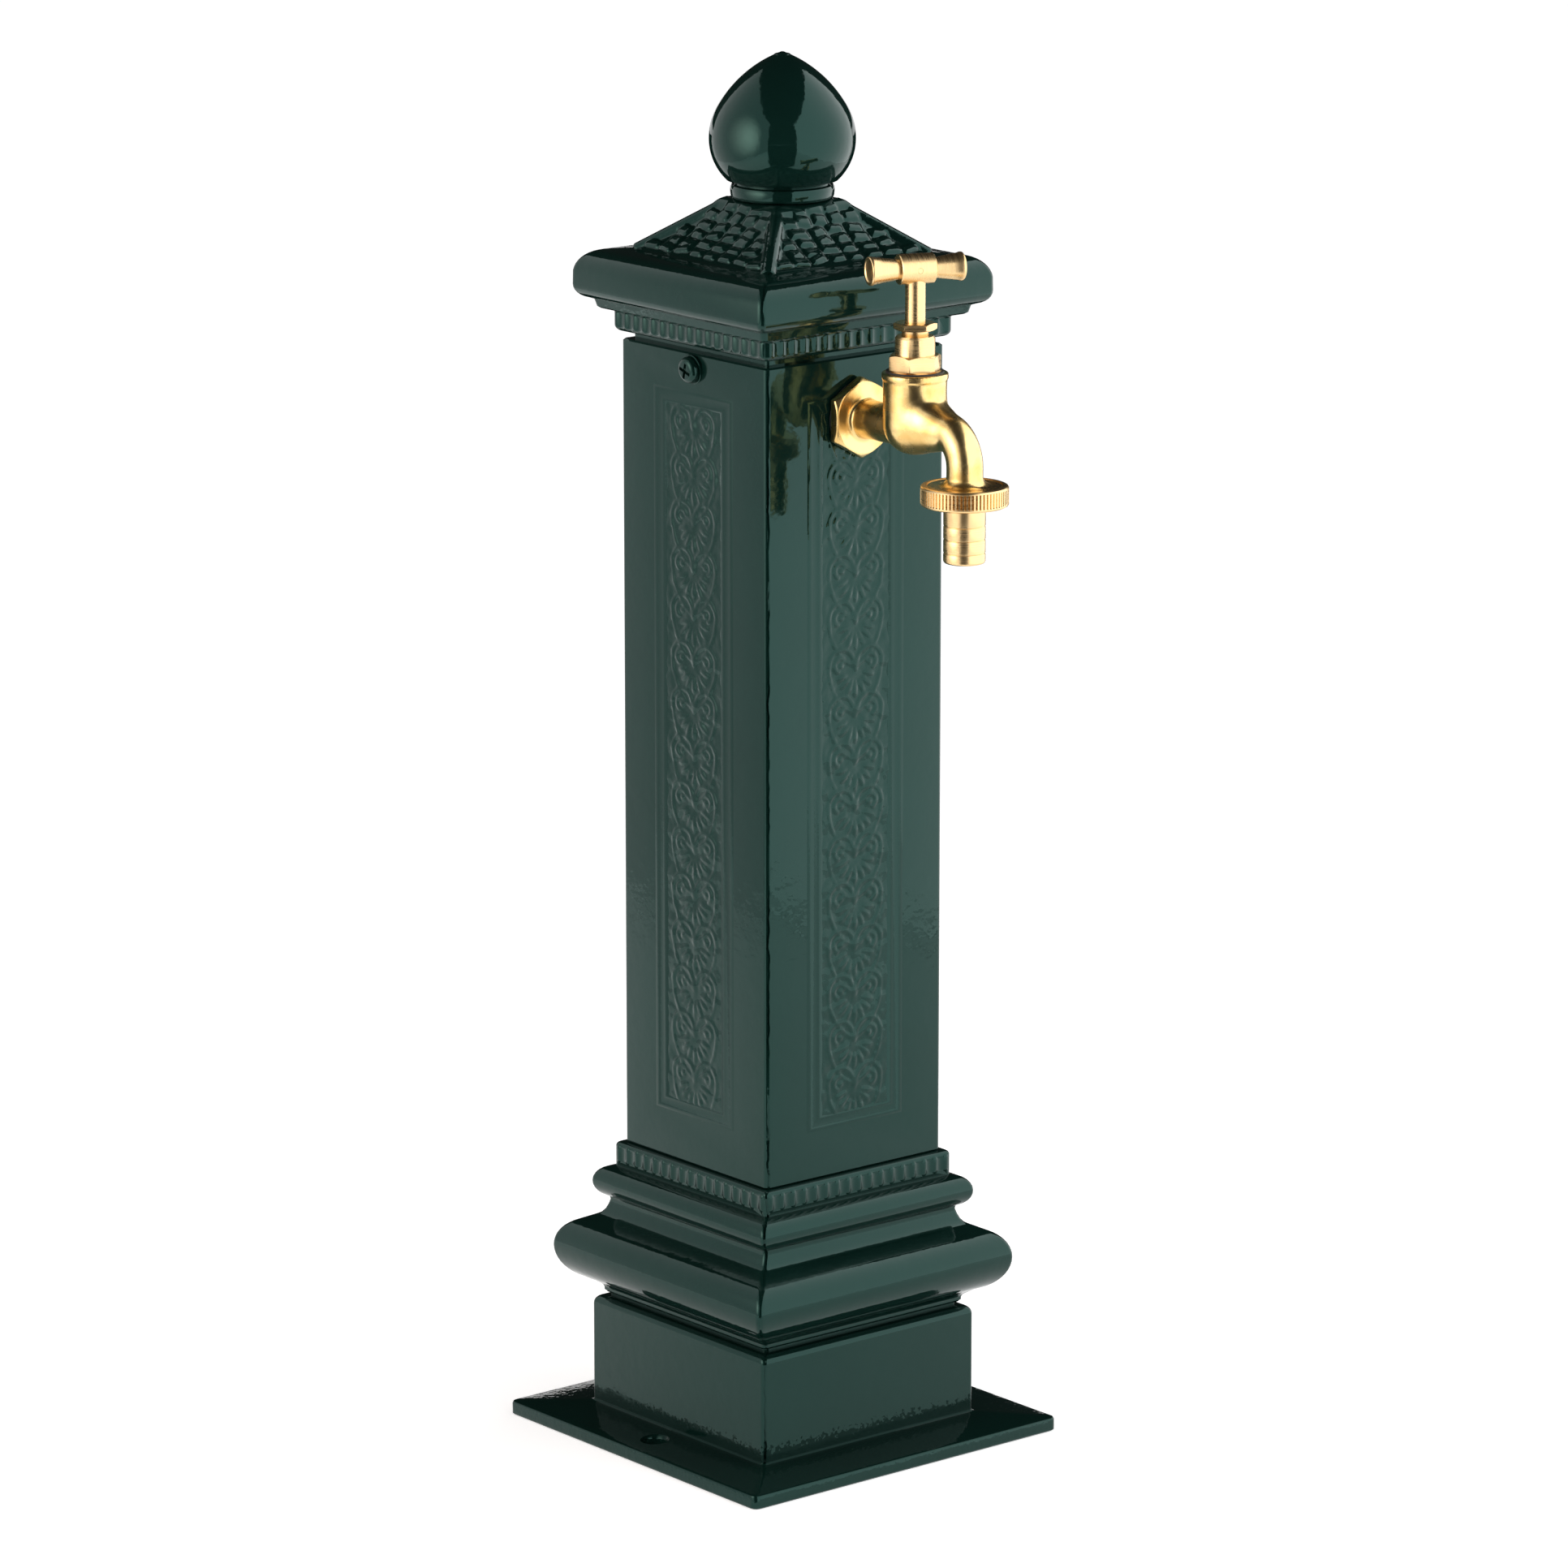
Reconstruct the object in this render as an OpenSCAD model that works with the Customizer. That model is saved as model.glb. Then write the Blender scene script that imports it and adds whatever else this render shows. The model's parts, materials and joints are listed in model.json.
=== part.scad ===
// Garden standpipe: a square cast column on a foot plate, with a pyramid cap,
// a ball finial and a brass bib tap fed by a pipe inside the column.
// Millimetres. Origin at the centre of the foot plate's underside, +Z up, tap towards -Y.

/* [Pedestal] */
// Side of the square foot plate
plate_w = 140; // [132:1:180]
// Thickness of the foot plate
plate_t = 6; // [4:0.5:12]
// Distance between the two fixing holes in the foot plate
fixing_spacing = 118; // [116:1:124]
// Diameter of a fixing hole
fixing_d = 9; // [5:0.5:10]
// Side of the square plinth
plinth_w = 97.4; // [94:0.2:104]
// Height of the plinth above the plate
plinth_h = 39.5; // [30:0.5:60]
// Radius of the cast fillet between the plate and the plinth
foot_fillet = 4; // [1:0.5:5]
// Wall of the plinth
plinth_wall = 5.2; // [3:0.2:7]
// Width of the groove above the plinth
neck_w = 92; // [90:0.2:93]
// Height of the groove above the plinth
neck_h = 6; // [4:0.5:10]
// Overall width of the large roll moulding
foot_roll_w = 118; // [110:0.5:130]
// Radius of the large roll moulding
foot_roll_r = 12.75; // [9:0.25:15]
// Width of the waist between the two roll mouldings
waist_w = 88.4; // [86:0.2:91]
// Height of the waist between the two roll mouldings
waist_h = 6; // [3:0.5:10]
// Overall width of the small roll moulding
bead_w = 97.6; // [92:0.2:104]
// Radius of the small roll moulding
bead_r = 5.75; // [3:0.25:8]
// Width of the band below the shaft
foot_band_w = 85.8; // [84:0.2:90]
// Height of the band below the shaft
foot_band_h = 9; // [7:0.5:14]
// Wall of the pedestal inside the mouldings
pedestal_wall = 5; // [3:0.5:6]
// Wall of the large roll moulding at its widest
roll_wall = 8; // [7:0.5:10]
// Wall above and below the hollow in the large roll moulding
roll_shoulder = 4; // [3:0.5:6]

/* [Shaft] */
// Side of the square shaft
shaft_w = 80; // [76:0.5:82]
// Height of the shaft
shaft_h = 291.5; // [240:0.5:500]
// Wall of the shaft
shaft_wall = 4; // [3:0.5:5]
// Rounding of the shaft's long corners
shaft_corner = 1.8; // [0.5:0.1:3]
// Thickness of the bolting flanges where shaft and pedestal meet
joint_t = 6; // [4:0.5:9]
// Side of the pipe way through the bolting flanges
joint_way = 46; // [40:1:48]
// Width of a panel with its border
panel_w = 43.6; // [38:0.2:56]
// Distance from the shaft's foot to the panel
panel_foot = 19.2; // [10:0.2:60]
// Distance from the shaft's top to the panel
panel_head = 15.6; // [13:0.2:24]
// Width of the panel border along its sides
border_side = 6.3; // [3:0.1:8]
// Width of the panel border along its ends
border_end = 2.9; // [2:0.1:8]
// How far the panel border stands out of the shaft's face
border_rise = 0.5; // [0.2:0.1:1]
// How deep the panel's field is sunk in the shaft's face
field_sink = 1.2; // [0.4:0.1:1.8]

/* [Cap] */
// Shadow gap between the shaft and the cap's band
cap_gap = 1.6; // [0.5:0.1:3]
// Width of the cap's band
cap_band_w = 84.7; // [83:0.1:90]
// Height of the cap's band
cap_band_h = 9; // [6:0.5:12]
// Lower width of the splayed moulding above the band
splay_low_w = 92.6; // [91:0.2:95]
// Upper width of the splayed moulding above the band
splay_top_w = 95; // [93:0.2:98]
// Height of the splayed moulding above the band
splay_h = 3.9; // [2:0.1:6]
// Overall width of the cap's roll moulding
cap_roll_w = 105.2; // [100:0.2:108]
// Radius of the top of the cap's roll moulding
cap_roll_r = 8.75; // [6:0.25:10]
// Radius of the lower edge of the cap's roll moulding
cap_edge_r = 4.5; // [2:0.25:6]
// Width of the roof at its eaves
roof_w = 74; // [66:0.5:84]
// Width of the roof at its top
roof_top_w = 25.6; // [24:0.2:34]
// Height of the roof
roof_h = 18.5; // [14:0.5:30]
// Radius of the hollow sweep of the roof
roof_sweep_r = 84; // [60:1:300]
// Width of the hollow inside the cap
cap_hollow_w = 71.6; // [64:0.2:72]
// Thickness of the cap under the eaves
cap_wall = 4.5; // [3:0.5:7]
// Thickness of the cap under the finial
cap_top_t = 5.5; // [4:0.5:9]
// Width of a screw lug of the cap
lug_w = 16; // [10:1:24]
// Thickness of a screw lug of the cap
lug_t = 5.2; // [4:0.2:8]
// How far a screw lug reaches down into the shaft
lug_drop = 14; // [10:0.5:20]
// Distance from the shaft's top to the cap screws
cap_screw_drop = 5.5; // [4:0.5:8]
// Thread diameter of a cap screw
cap_screw_d = 5; // [4:0.5:6]
// Head diameter of a cap screw
cap_screw_head_d = 9.5; // [8:0.5:11]
// Head height of a cap screw
cap_screw_head_h = 3; // [2:0.1:4]
// Thickness of a cap screw's washer
cap_washer_t = 0.8; // [0.5:0.1:1.6]
// Diameter of a cap screw's washer
cap_washer_d = 10.5; // [9.6:0.1:13]

/* [Finial] */
// Diameter of the finial's collar
collar_d = 36; // [30:0.5:42]
// Height of the finial's collar
collar_h = 5.7; // [3:0.1:10]
// Largest diameter of the ball
ball_d = 50.2; // [46:0.2:60]
// Height of the ball's widest point above the collar
ball_low_h = 14.8; // [12:0.2:17]
// Radius of the ball's lower curve
ball_low_r = 19.7; // [18:0.1:23]
// Radius of the ball's upper curve
ball_top_r = 22.5; // [21:0.1:25]
// Angle at which the ball's upper curve turns into the flatter curve of the tip
ball_tip_angle = 32; // [26:1:40]
// Radius of the tip's curve
ball_tip_r = 48; // [40:1:60]
// Diameter of the finial's stud
stud_d = 8; // [6:0.5:10]
// Width across flats of the finial's nut
stud_nut_af = 13; // [12:0.5:17]
// Thickness of the finial's nut
stud_nut_t = 6.5; // [4:0.5:9]

/* [Tap body] */
// Distance from the shaft's top down to the tap's inlet axis
tap_drop = 21; // [17:0.5:60]
// Diameter of the tap's inlet thread
inlet_d = 20.96; // [16:0.02:22]
// Length of the inlet thread behind the flange
inlet_len = 20; // [18:0.5:24]
// Thickness of the wall gasket
gasket_t = 0.5; // [0.3:0.1:2]
// Width across flats of the hexagon flange
flange_af = 25; // [24:0.5:30]
// Thickness of the hexagon flange
flange_t = 4; // [3:0.5:6]
// Diameter of the shank
shank_d = 13.5; // [12:0.5:16]
// Radius of the fillet between the flange and the shank
shank_fillet = 2.5; // [1:0.25:4]
// Distance from the flange's back to the barrel's axis
barrel_reach = 30.2; // [28:0.2:40]
// Diameter of the barrel
barrel_d = 22; // [21:0.2:24]
// Height of the centre of the barrel's round bottom above the inlet axis
barrel_low = 2.2; // [1:0.2:3]
// Height of the barrel's top above the inlet axis
barrel_top = 19.9; // [19:0.1:26]
// Diameter of the barrel's rim
rim_d = 23; // [22:0.2:26]
// Height of the barrel's rim
rim_h = 2.2; // [1:0.1:4]
// Height of the spout's axis above the inlet axis where it leaves the barrel
spout_rise = 2.5; // [2:0.1:3]
// Distance from the barrel's axis to the outlet's axis
spout_reach = 26.2; // [25:0.2:30]
// Radius of the spout's bend
spout_bend_r = 12; // [11:0.25:13]
// Length of the straight spout under the bend
spout_drop = 6; // [4:0.25:8]
// Diameter of the spout
spout_d = 12.6; // [12:0.1:14]
// Diameter of the spout's root in the barrel
spout_root_d = 20.4; // [18:0.2:21]
// Diameter of the outlet thread
outlet_d = 26.4; // [25:0.2:28]
// Length of the outlet thread
outlet_len = 2.4; // [2:0.1:3]
// Radius of the fillet between the outlet and the spout
outlet_fillet = 4; // [2:0.25:5]
// Diameter of the valve seat's hole
seat_d = 8; // [6:0.2:9]
// Height of the valve seat above the inlet axis
seat_rise = 3; // [2.6:0.1:3.4]
// Diameter of the valve chamber
chamber_d = 16; // [15:0.2:16.4]

/* [Bonnet and valve] */
// Diameter of the bonnet's thread
bonnet_d = 18; // [17:0.1:18.4]
// Length of the bonnet's thread
bonnet_len = 6.8; // [5:0.1:7.4]
// Thickness of the bonnet's gasket
bonnet_gasket_t = 0.5; // [0.3:0.1:1]
// Diameter of the bonnet's gasket
bonnet_gasket_d = 20; // [19.6:0.2:22]
// Width across flats of the bonnet
bonnet_af = 16; // [15.4:0.2:18]
// Height of the bonnet's hexagon
bonnet_hex_h = 5.6; // [4:0.2:8]
// Diameter of the bonnet's neck
bonnet_neck_d = 13.8; // [12.4:0.2:15]
// Height of the bonnet's neck
bonnet_neck_h = 6.5; // [5.6:0.1:9]
// Diameter of the gland nut's neck
gland_neck_d = 9.2; // [8.6:0.1:10]
// Visible height of the gland nut's neck
gland_neck_h = 2.1; // [1:0.1:4]
// Width across flats of the gland nut
gland_af = 13; // [11:0.2:15]
// Height of the gland nut's hexagon
gland_hex_h = 2.4; // [2:0.1:5]
// Height of the gland packing
packing_h = 2; // [1:0.1:3]
// Diameter of the spindle above the bonnet
spindle_d = 7; // [6:0.1:7.4]
// Diameter of the spindle's thread
spindle_thread_d = 9; // [8:0.1:10]
// Visible height of the spindle between the gland nut and the handle
spindle_show = 13.3; // [8:0.1:20]
// Lift of the valve from shut to fully open
valve_lift = 5; // [3:0.1:5.2]
// Diameter of the seat washer
washer_d = 12.4; // [11:0.2:13.6]
// Thickness of the seat washer
washer_t = 2.25; // [1.5:0.05:2.5]
// Thickness of the jumper's disc
jumper_t = 2; // [1.5:0.1:2.2]
// Diameter of the jumper's stem
jumper_stem_d = 4.8; // [4:0.1:5.4]
// Length of the jumper's stem
jumper_stem_len = 6.5; // [4:0.1:8]
// Thread diameter of the washer screw
washer_screw_d = 2.4; // [2:0.1:3]

/* [Handle] */
// Angle of the T bar from the X axis
bar_turn = -20.5; // [-90:0.5:90]
// Length of the T bar
bar_len = 34; // [28:0.5:35]
// Diameter of the T bar's hub
hub_d = 10.4; // [9.6:0.1:12]
// Length of the T bar's hub
hub_len = 12.6; // [11:0.2:16]
// Diameter of the T bar beside its hub
bar_waist_d = 6.9; // [6:0.1:8]
// Diameter of the T bar at its ends
bar_end_d = 10; // [9:0.1:11]
// Depth of the dish in the T bar's ends
bar_dish = 0.5; // [0.2:0.1:1]
// Diameter of the spindle inside the hub
tang_d = 6; // [5:0.1:6.4]
// How deep the spindle's shoulder sits in the hub
hub_seat = 1.5; // [0.8:0.1:2.5]
// How far the spindle's end reaches past the cross pin's axis
tang_past = 2; // [1.4:0.1:2.6]
// Diameter of the handle's cross pin
handle_pin_d = 1.8; // [1.2:0.1:2.4]

/* [Hose union] */
// Diameter of the union nut
union_d = 30.2; // [29:0.2:34]
// Height of the union nut
union_h = 7.1; // [6.6:0.1:10]
// Number of ribs round the union nut
rib_count = 96; // [24:1:120]
// Depth of the grooves between the union nut's ribs
rib_depth = 0.4; // [0.1:0.05:0.8]
// Thickness of the union nut's floor
union_floor = 1.4; // [1:0.1:2]
// Diameter of the hose tail
tail_d = 14.5; // [12:0.1:16]
// Length of the hose tail below the union nut
tail_len = 19.9; // [16:0.1:40]
// Bore of the hose tail
tail_bore = 10; // [7:0.2:11]
// Diameter of the hose tail's collar
tail_collar_d = 24; // [22:0.2:24.6]
// Thickness of the hose tail's collar
tail_collar_t = 1.6; // [1:0.1:2]
// Thickness of the hose washer
hose_washer_t = 1.5; // [1:0.1:2]
// Distance from the union nut to the hose tail's first groove
groove_start = 6.7; // [3:0.1:8]
// Distance between the hose tail's grooves
groove_pitch = 4.7; // [3:0.1:5]
// Number of grooves on the hose tail
groove_count = 3; // [1:1:4]
// Depth of a groove on the hose tail
groove_depth = 0.4; // [0.3:0.1:1]

/* [Supply pipe] */
// Distance of the riser pipe in front of the column's axis
riser_front = 8; // [4:0.5:9]
// Diameter of the riser pipe
riser_d = 15; // [12:0.5:15]
// Wall of the riser pipe
riser_wall = 1; // [0.7:0.1:1.5]
// Height of the riser pipe's lower end above the foot
riser_foot = 62; // [60:0.5:68]
// Width across flats of the back nut
back_nut_af = 26; // [24:0.5:30]
// Thickness of the back nut
back_nut_t = 6; // [4:0.5:7]
// Outside diameter of the elbow's socket
elbow_socket_d = 26; // [25:0.5:28]
// Outside diameter of the elbow's body
elbow_d = 22; // [21:0.5:24]
// Length of the elbow from the tap's axis to its compression thread
elbow_leg = 22; // [18:0.5:28]
// Diameter of the compression threads
comp_thread_d = 19.9; // [18.5:0.1:21]
// Length of the compression threads
comp_thread_len = 10; // [7:0.5:14]
// Width across flats of a compression nut
comp_nut_af = 24; // [23:0.5:28]
// Height of a compression nut
comp_nut_h = 16; // [14:0.5:22]
// Length of an olive
olive_len = 2.8; // [2:0.1:3.4]
// Depth of the pipe in its sockets
socket_depth = 16; // [14:0.5:20]
// Height of the inlet coupling's hexagon
coupling_hex_h = 8; // [6:0.5:12]
// Length of the supply thread below the coupling's hexagon
supply_len = 15; // [10:0.5:17]
// Bore of the fittings
water_bore = 12; // [9:0.5:12.5]

/* [Bolts] */
// Thread diameter of the bolts between pedestal and shaft
joint_bolt_d = 6; // [5:0.5:8]
// Width across flats of those bolts
joint_bolt_af = 10; // [8:0.5:11]
// Head height of those bolts
joint_bolt_head = 4; // [3:0.5:6]

/* [Hidden] */
$fn = 64;
green = "#12342f";
brass = "#d6ae62";
copper = "#b8734a";
steel = "#b9bcc0";
rubber = "#26282a";

// Radial clearance of threads, pins and running fits
fit = 0.05;
// Clearance between flat faces that move over each other
face_gap = 0.05;
// Radial clearance of bolts and screws in their holes
bolt_clear = 0.3;
// Clearance between the cap's lugs and the shaft's wall
lug_clear = 0.3;
// Length by which a cut runs past the face it opens
past = 1;
// Distance by which a bolt's or screw's end stays back from the face that it reaches
end_gap = 0.5;
// Margin of a gasket or a cast pad inside the piece that it lies under
seat_margin = 0.2;

// Heights of the pedestal's mouldings
z_plinth = plate_t + plinth_h;
z_roll = z_plinth + neck_h;
z_waist = z_roll + 2 * foot_roll_r;
z_bead = z_waist + waist_h;
z_band = z_bead + 2 * bead_r;
z_shaft = z_band + foot_band_h;

// Heights of the shaft and the cap
z_shaft_top = z_shaft + shaft_h;
z_cap = z_shaft_top + cap_gap;
z_splay = z_cap + cap_band_h;
z_cap_roll = z_splay + splay_h;
z_eave = z_cap_roll + 2 * cap_roll_r;
z_roof = z_eave + roof_h;
z_ceiling = z_roof - cap_top_t;
z_cap_screw = z_shaft_top - cap_screw_drop;

// Inside of the shaft and the places of its bolts
shaft_in = shaft_w - 2 * shaft_wall;
joint_bolt_at = (joint_way + shaft_in) / 4;
joint_bolt_len = 2 * joint_t - end_gap;

// Tap: the flange's back and the axes of barrel and outlet
z_tap = z_shaft_top - tap_drop;
y_pad = -shaft_w / 2 - border_rise;
y_flange = y_pad - gasket_t;
y_inlet = y_flange + inlet_len;
y_barrel = y_flange - barrel_reach;
y_outlet = y_barrel - spout_reach;
y_bend = y_outlet + spout_bend_r;
z_bend = z_tap + spout_rise - spout_bend_r;
z_rim = z_tap + barrel_top;
z_seat = z_tap + seat_rise;
// Bores of the waterway, the steps where they meet and the depth of the well under the seat
inlet_bore = 9;
slant_bore = 7.4;
feed_bore = 6.4;
bore_step = 0.6;
well_depth = 8.5;
// Angle round the bend at which the straight bore from the chamber meets the bent one
spout_bore_angle = 22;
// How far that straight bore runs into the chamber
feed_in = 2.3;
// How far a cast fillet runs into the round that it blends with
fillet_bite = 0.4;
// Turns of the hexagons about their axes
flange_turn = 30;
bonnet_turn = 36;
gland_turn = 20;

// Valve, bonnet and gland, upwards from the seat
z_washer = z_seat + face_gap;
z_jumper = z_washer + washer_t;
z_spindle = z_jumper + jumper_t + face_gap;
z_bonnet_hex = z_rim + bonnet_gasket_t;
z_bonnet = z_rim - bonnet_len;
z_bonnet_neck = z_bonnet_hex + bonnet_hex_h;
z_gland = z_bonnet_neck + bonnet_neck_h;
z_gland_hex = z_gland + gland_neck_h;
z_gland_top = z_gland_hex + gland_hex_h;
z_hub = z_gland_top + spindle_show;
z_bar = z_hub + hub_d / 2;
packing_floor = 1.5;
z_packing = z_bonnet_neck + packing_floor;
z_thread_end = z_packing - packing_floor;
spindle_thread_len = z_thread_end - valve_lift - z_spindle;
z_tang = z_hub + hub_seat;
tang_len = z_bar + tang_past - z_tang;
// How far the jumper's disc stands out past the seat washer
jumper_rim = 0.4;

// Lip round each dished end of the T bar: its height, its rounding and its width
lip_h = 1;
lip_round = 0.4;
lip_w = 1.4;
// How far the cross pin's ends stay below the hub
pin_sink = 0.1;

// Cross recess of a cap screw: width and length of an arm pair
cross_w = 1.2;
cross_len = 5.7;
// Length of the finial's stud past its nut
stud_past = 2;

// Hose union, downwards from the outlet's end
z_outlet = z_bend - spout_drop - outlet_len;
z_hose_washer = z_outlet - face_gap - hose_washer_t;
z_tail_collar = z_hose_washer - tail_collar_t;
z_union_floor = z_tail_collar - face_gap;
z_union = z_union_floor - union_floor;
z_tail = z_union - tail_len;
// Step of the hose tail under the union nut, and the rounding of its end
stop_step = 0.25;
stop_show = 0.4;
tail_round = 1;
tail_stop_d = tail_d + 2 * stop_step;

// Supply pipe: the elbow's thread, the pipe's ends and the coupling
y_riser = -riser_front;
z_elbow_thread = z_tap - elbow_leg;
z_elbow_end = z_elbow_thread - comp_thread_len;
z_pipe_top = z_elbow_end + socket_depth;
z_coupling_top = riser_foot + socket_depth;
z_coupling_hex = z_coupling_top - comp_thread_len - coupling_hex_h;
z_supply = z_coupling_hex - supply_len;
// Grip of the compression nuts, and of the elbow's socket on either side of the inlet's end
comp_grip = 9;
elbow_floor = 7;
elbow_grip = 7;

// Square moulding with mitred corners: one profile run along both directions
module mitred(width) {
    intersection() {
        rotate([90, 0, 0]) linear_extrude(height = width, center = true) children();
        rotate([90, 0, 90]) linear_extrude(height = width, center = true) children();
    }
}

// Profile: a straight stretch of a given width between two heights
module span(w, z0, z1) {
    translate([-w / 2, z0]) square([w, z1 - z0]);
}

// Profile: a splayed stretch that changes width between two heights
module splay(w0, z0, w1, z1) {
    polygon([[-w0 / 2, z0], [w0 / 2, z0], [w1 / 2, z1], [-w1 / 2, z1]]);
}

// Profile: a half-round moulding of overall width w that starts at height z0
module roll(w, r, z0) {
    for (side = [-1, 1]) translate([side * (w / 2 - r), z0 + r]) circle(r);
    span(w - 2 * r, z0, z0 + 2 * r);
}

// Square hole centred on the column between two heights
module square_way(w, z0, z1) {
    translate([-w / 2, -w / 2, z0]) cube([w, w, z1 - z0]);
}

module hex_prism(af, h) {
    cylinder(d = af / cos(30), h = h, $fn = 6);
}

module ring(d_out, d_in, h) {
    difference() {
        cylinder(d = d_out, h = h);
        translate([0, 0, -past]) cylinder(d = d_in, h = h + 2 * past);
    }
}

// Hollow fillet of radius f round a shaft of diameter d that stands on a flat
module fillet_ring(d, f) {
    rotate_extrude() difference() {
        square([d / 2 + f, f]);
        translate([d / 2 + f, f]) circle(f);
    }
}

// Drill of diameter d in the plane x = 0 between two [y, z] points
module drill(from, to, d) {
    run = to - from;
    lean = atan2(-run[0], run[1]);
    translate([0, from[0], from[1]]) rotate([lean, 0, 0]) cylinder(d = d, h = norm(run));
}

// Puts a piece on the tap's inlet axis, pointing forwards from y
module on_inlet(y) {
    translate([0, y, z_tap]) rotate([90, 0, 0]) children();
}

module on_barrel(z) {
    translate([0, y_barrel, z]) children();
}

module on_outlet(z) {
    translate([0, y_outlet, z]) children();
}

module on_riser(z) {
    translate([0, y_riser, z]) children();
}

// Pedestal: foot plate, plinth and mouldings in one hollow casting

module base_profile() {
    span(plate_w, 0, plate_t);
    difference() {
        span(plinth_w + 2 * foot_fillet, plate_t, plate_t + foot_fillet);
        for (side = [-1, 1]) {
            translate([side * (plinth_w / 2 + foot_fillet), plate_t + foot_fillet]) circle(foot_fillet);
        }
    }
    span(plinth_w, plate_t, z_plinth);
    span(neck_w, z_plinth, z_roll);
    roll(foot_roll_w, foot_roll_r, z_roll);
    splay(neck_w, z_waist, waist_w, z_bead);
    roll(bead_w, bead_r, z_bead);
    span(foot_band_w, z_band, z_shaft);
}

module joint_bolt_places() {
    for (x = [-1, 1], y = [-1, 1]) translate([x * joint_bolt_at, y * joint_bolt_at, 0]) children();
}

module base() color(green) difference() {
    mitred(plate_w) base_profile();
    square_way(plinth_w - 2 * plinth_wall, -past, z_plinth - plinth_wall);
    square_way(foot_band_w - 2 * pedestal_wall, -past, z_shaft - joint_t);
    square_way(foot_roll_w - 2 * roll_wall, z_roll + roll_shoulder, z_waist - roll_shoulder);
    square_way(joint_way, -past, z_shaft + past);
    for (side = [-1, 1]) translate([side * fixing_spacing / 2, 0, -past])
        cylinder(d = fixing_d, h = plate_t + 2 * past);
    joint_bolt_places() translate([0, 0, z_shaft - joint_t - past])
        cylinder(d = joint_bolt_d + 2 * bolt_clear, h = joint_t + 2 * past);
}

module shaft_bolts() color(steel) joint_bolt_places() {
    translate([0, 0, z_shaft - joint_t - joint_bolt_head]) hex_prism(joint_bolt_af, joint_bolt_head);
    translate([0, 0, z_shaft - joint_t]) cylinder(d = joint_bolt_d, h = joint_bolt_len);
}

// Shaft: a square tube with a sunk, bordered panel on each face

module rounded_square(w, r) {
    square([w, w - 2 * r], center = true);
    square([w - 2 * r, w], center = true);
    for (x = [-1, 1], y = [-1, 1]) translate([x * (w / 2 - r), y * (w / 2 - r)]) circle(r);
}

// A block on the front face over the panel, less a margin at its sides and ends
module panel_block(side, end, depth, rise) {
    x = panel_w / 2 - side;
    z0 = z_shaft + panel_foot + end;
    z1 = z_shaft_top - panel_head - end;
    translate([-x, -shaft_w / 2 - rise, z0]) cube([2 * x, depth + rise, z1 - z0]);
}

module shaft() color(green) difference() {
    union() {
        difference() {
            union() {
                translate([0, 0, z_shaft]) linear_extrude(height = shaft_h)
                    rounded_square(shaft_w, shaft_corner);
                for (turn = [0:90:270]) rotate([0, 0, turn])
                    panel_block(0, 0, shaft_wall / 2, border_rise);
            }
            for (turn = [0:90:270]) rotate([0, 0, turn])
                panel_block(border_side, border_end, field_sink, border_rise + past);
        }
        on_inlet(-shaft_w / 2 + shaft_wall / 2)
            cylinder(d = flange_af - seat_margin, h = shaft_wall / 2 + border_rise);
    }
    square_way(shaft_in, z_shaft + joint_t, z_shaft_top + past);
    square_way(joint_way, z_shaft - past, z_shaft + joint_t + past);
    on_inlet(-shaft_in / 2 + past)
        cylinder(d = inlet_d + 2 * bolt_clear, h = shaft_wall + border_rise + 2 * past);
    translate([-shaft_w / 2 - past, 0, z_cap_screw]) rotate([0, 90, 0])
        cylinder(d = cap_screw_d + 2 * bolt_clear, h = shaft_w + 2 * past);
    joint_bolt_places() translate([0, 0, z_shaft - past])
        cylinder(d = joint_bolt_d + 2 * fit, h = joint_t + 2 * past);
}

// Cap: a hollow casting with a pyramid roof that seats on the shaft and is held by two side screws

module roof_profile() {
    eave = [roof_w / 2, z_eave];
    top = [roof_top_w / 2, z_roof];
    run = top - eave;
    half = norm(run) / 2;
    out = [run[1], -run[0]] / norm(run);
    sweep = (eave + top) / 2 + out * sqrt(roof_sweep_r * roof_sweep_r - half * half);
    difference() {
        splay(roof_w, z_eave, roof_top_w, z_roof);
        for (side = [-1, 1]) translate([side * sweep[0], sweep[1]])
            circle(roof_sweep_r, $fn = 128);
    }
}

module cap_profile() {
    span(shaft_w - 2 * shaft_corner, z_shaft_top, z_cap);
    span(cap_band_w, z_cap, z_splay);
    splay(splay_low_w, z_splay, splay_top_w, z_cap_roll);
    roll(cap_roll_w, cap_roll_r, z_cap_roll);
    roll(cap_roll_w, cap_edge_r, z_cap_roll);
    span(cap_roll_w, z_cap_roll + cap_edge_r, z_cap_roll + cap_roll_r);
    roof_profile();
}

module cap_hollow_profile() {
    span(cap_hollow_w, z_shaft_top - past, z_eave - cap_wall);
    splay(cap_hollow_w, z_eave - cap_wall, roof_top_w - cap_wall, z_ceiling);
}

module cap_lug() {
    x = shaft_in / 2 - lug_clear;
    low = z_shaft_top - lug_drop;
    root = cap_hollow_w / 2 + past;
    translate([x - lug_t, -lug_w / 2, low]) cube([lug_t, lug_w, z_splay - low]);
    translate([x - lug_t, -lug_w / 2, z_shaft_top]) cube([root - x + lug_t, lug_w, z_splay - z_shaft_top]);
}

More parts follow.
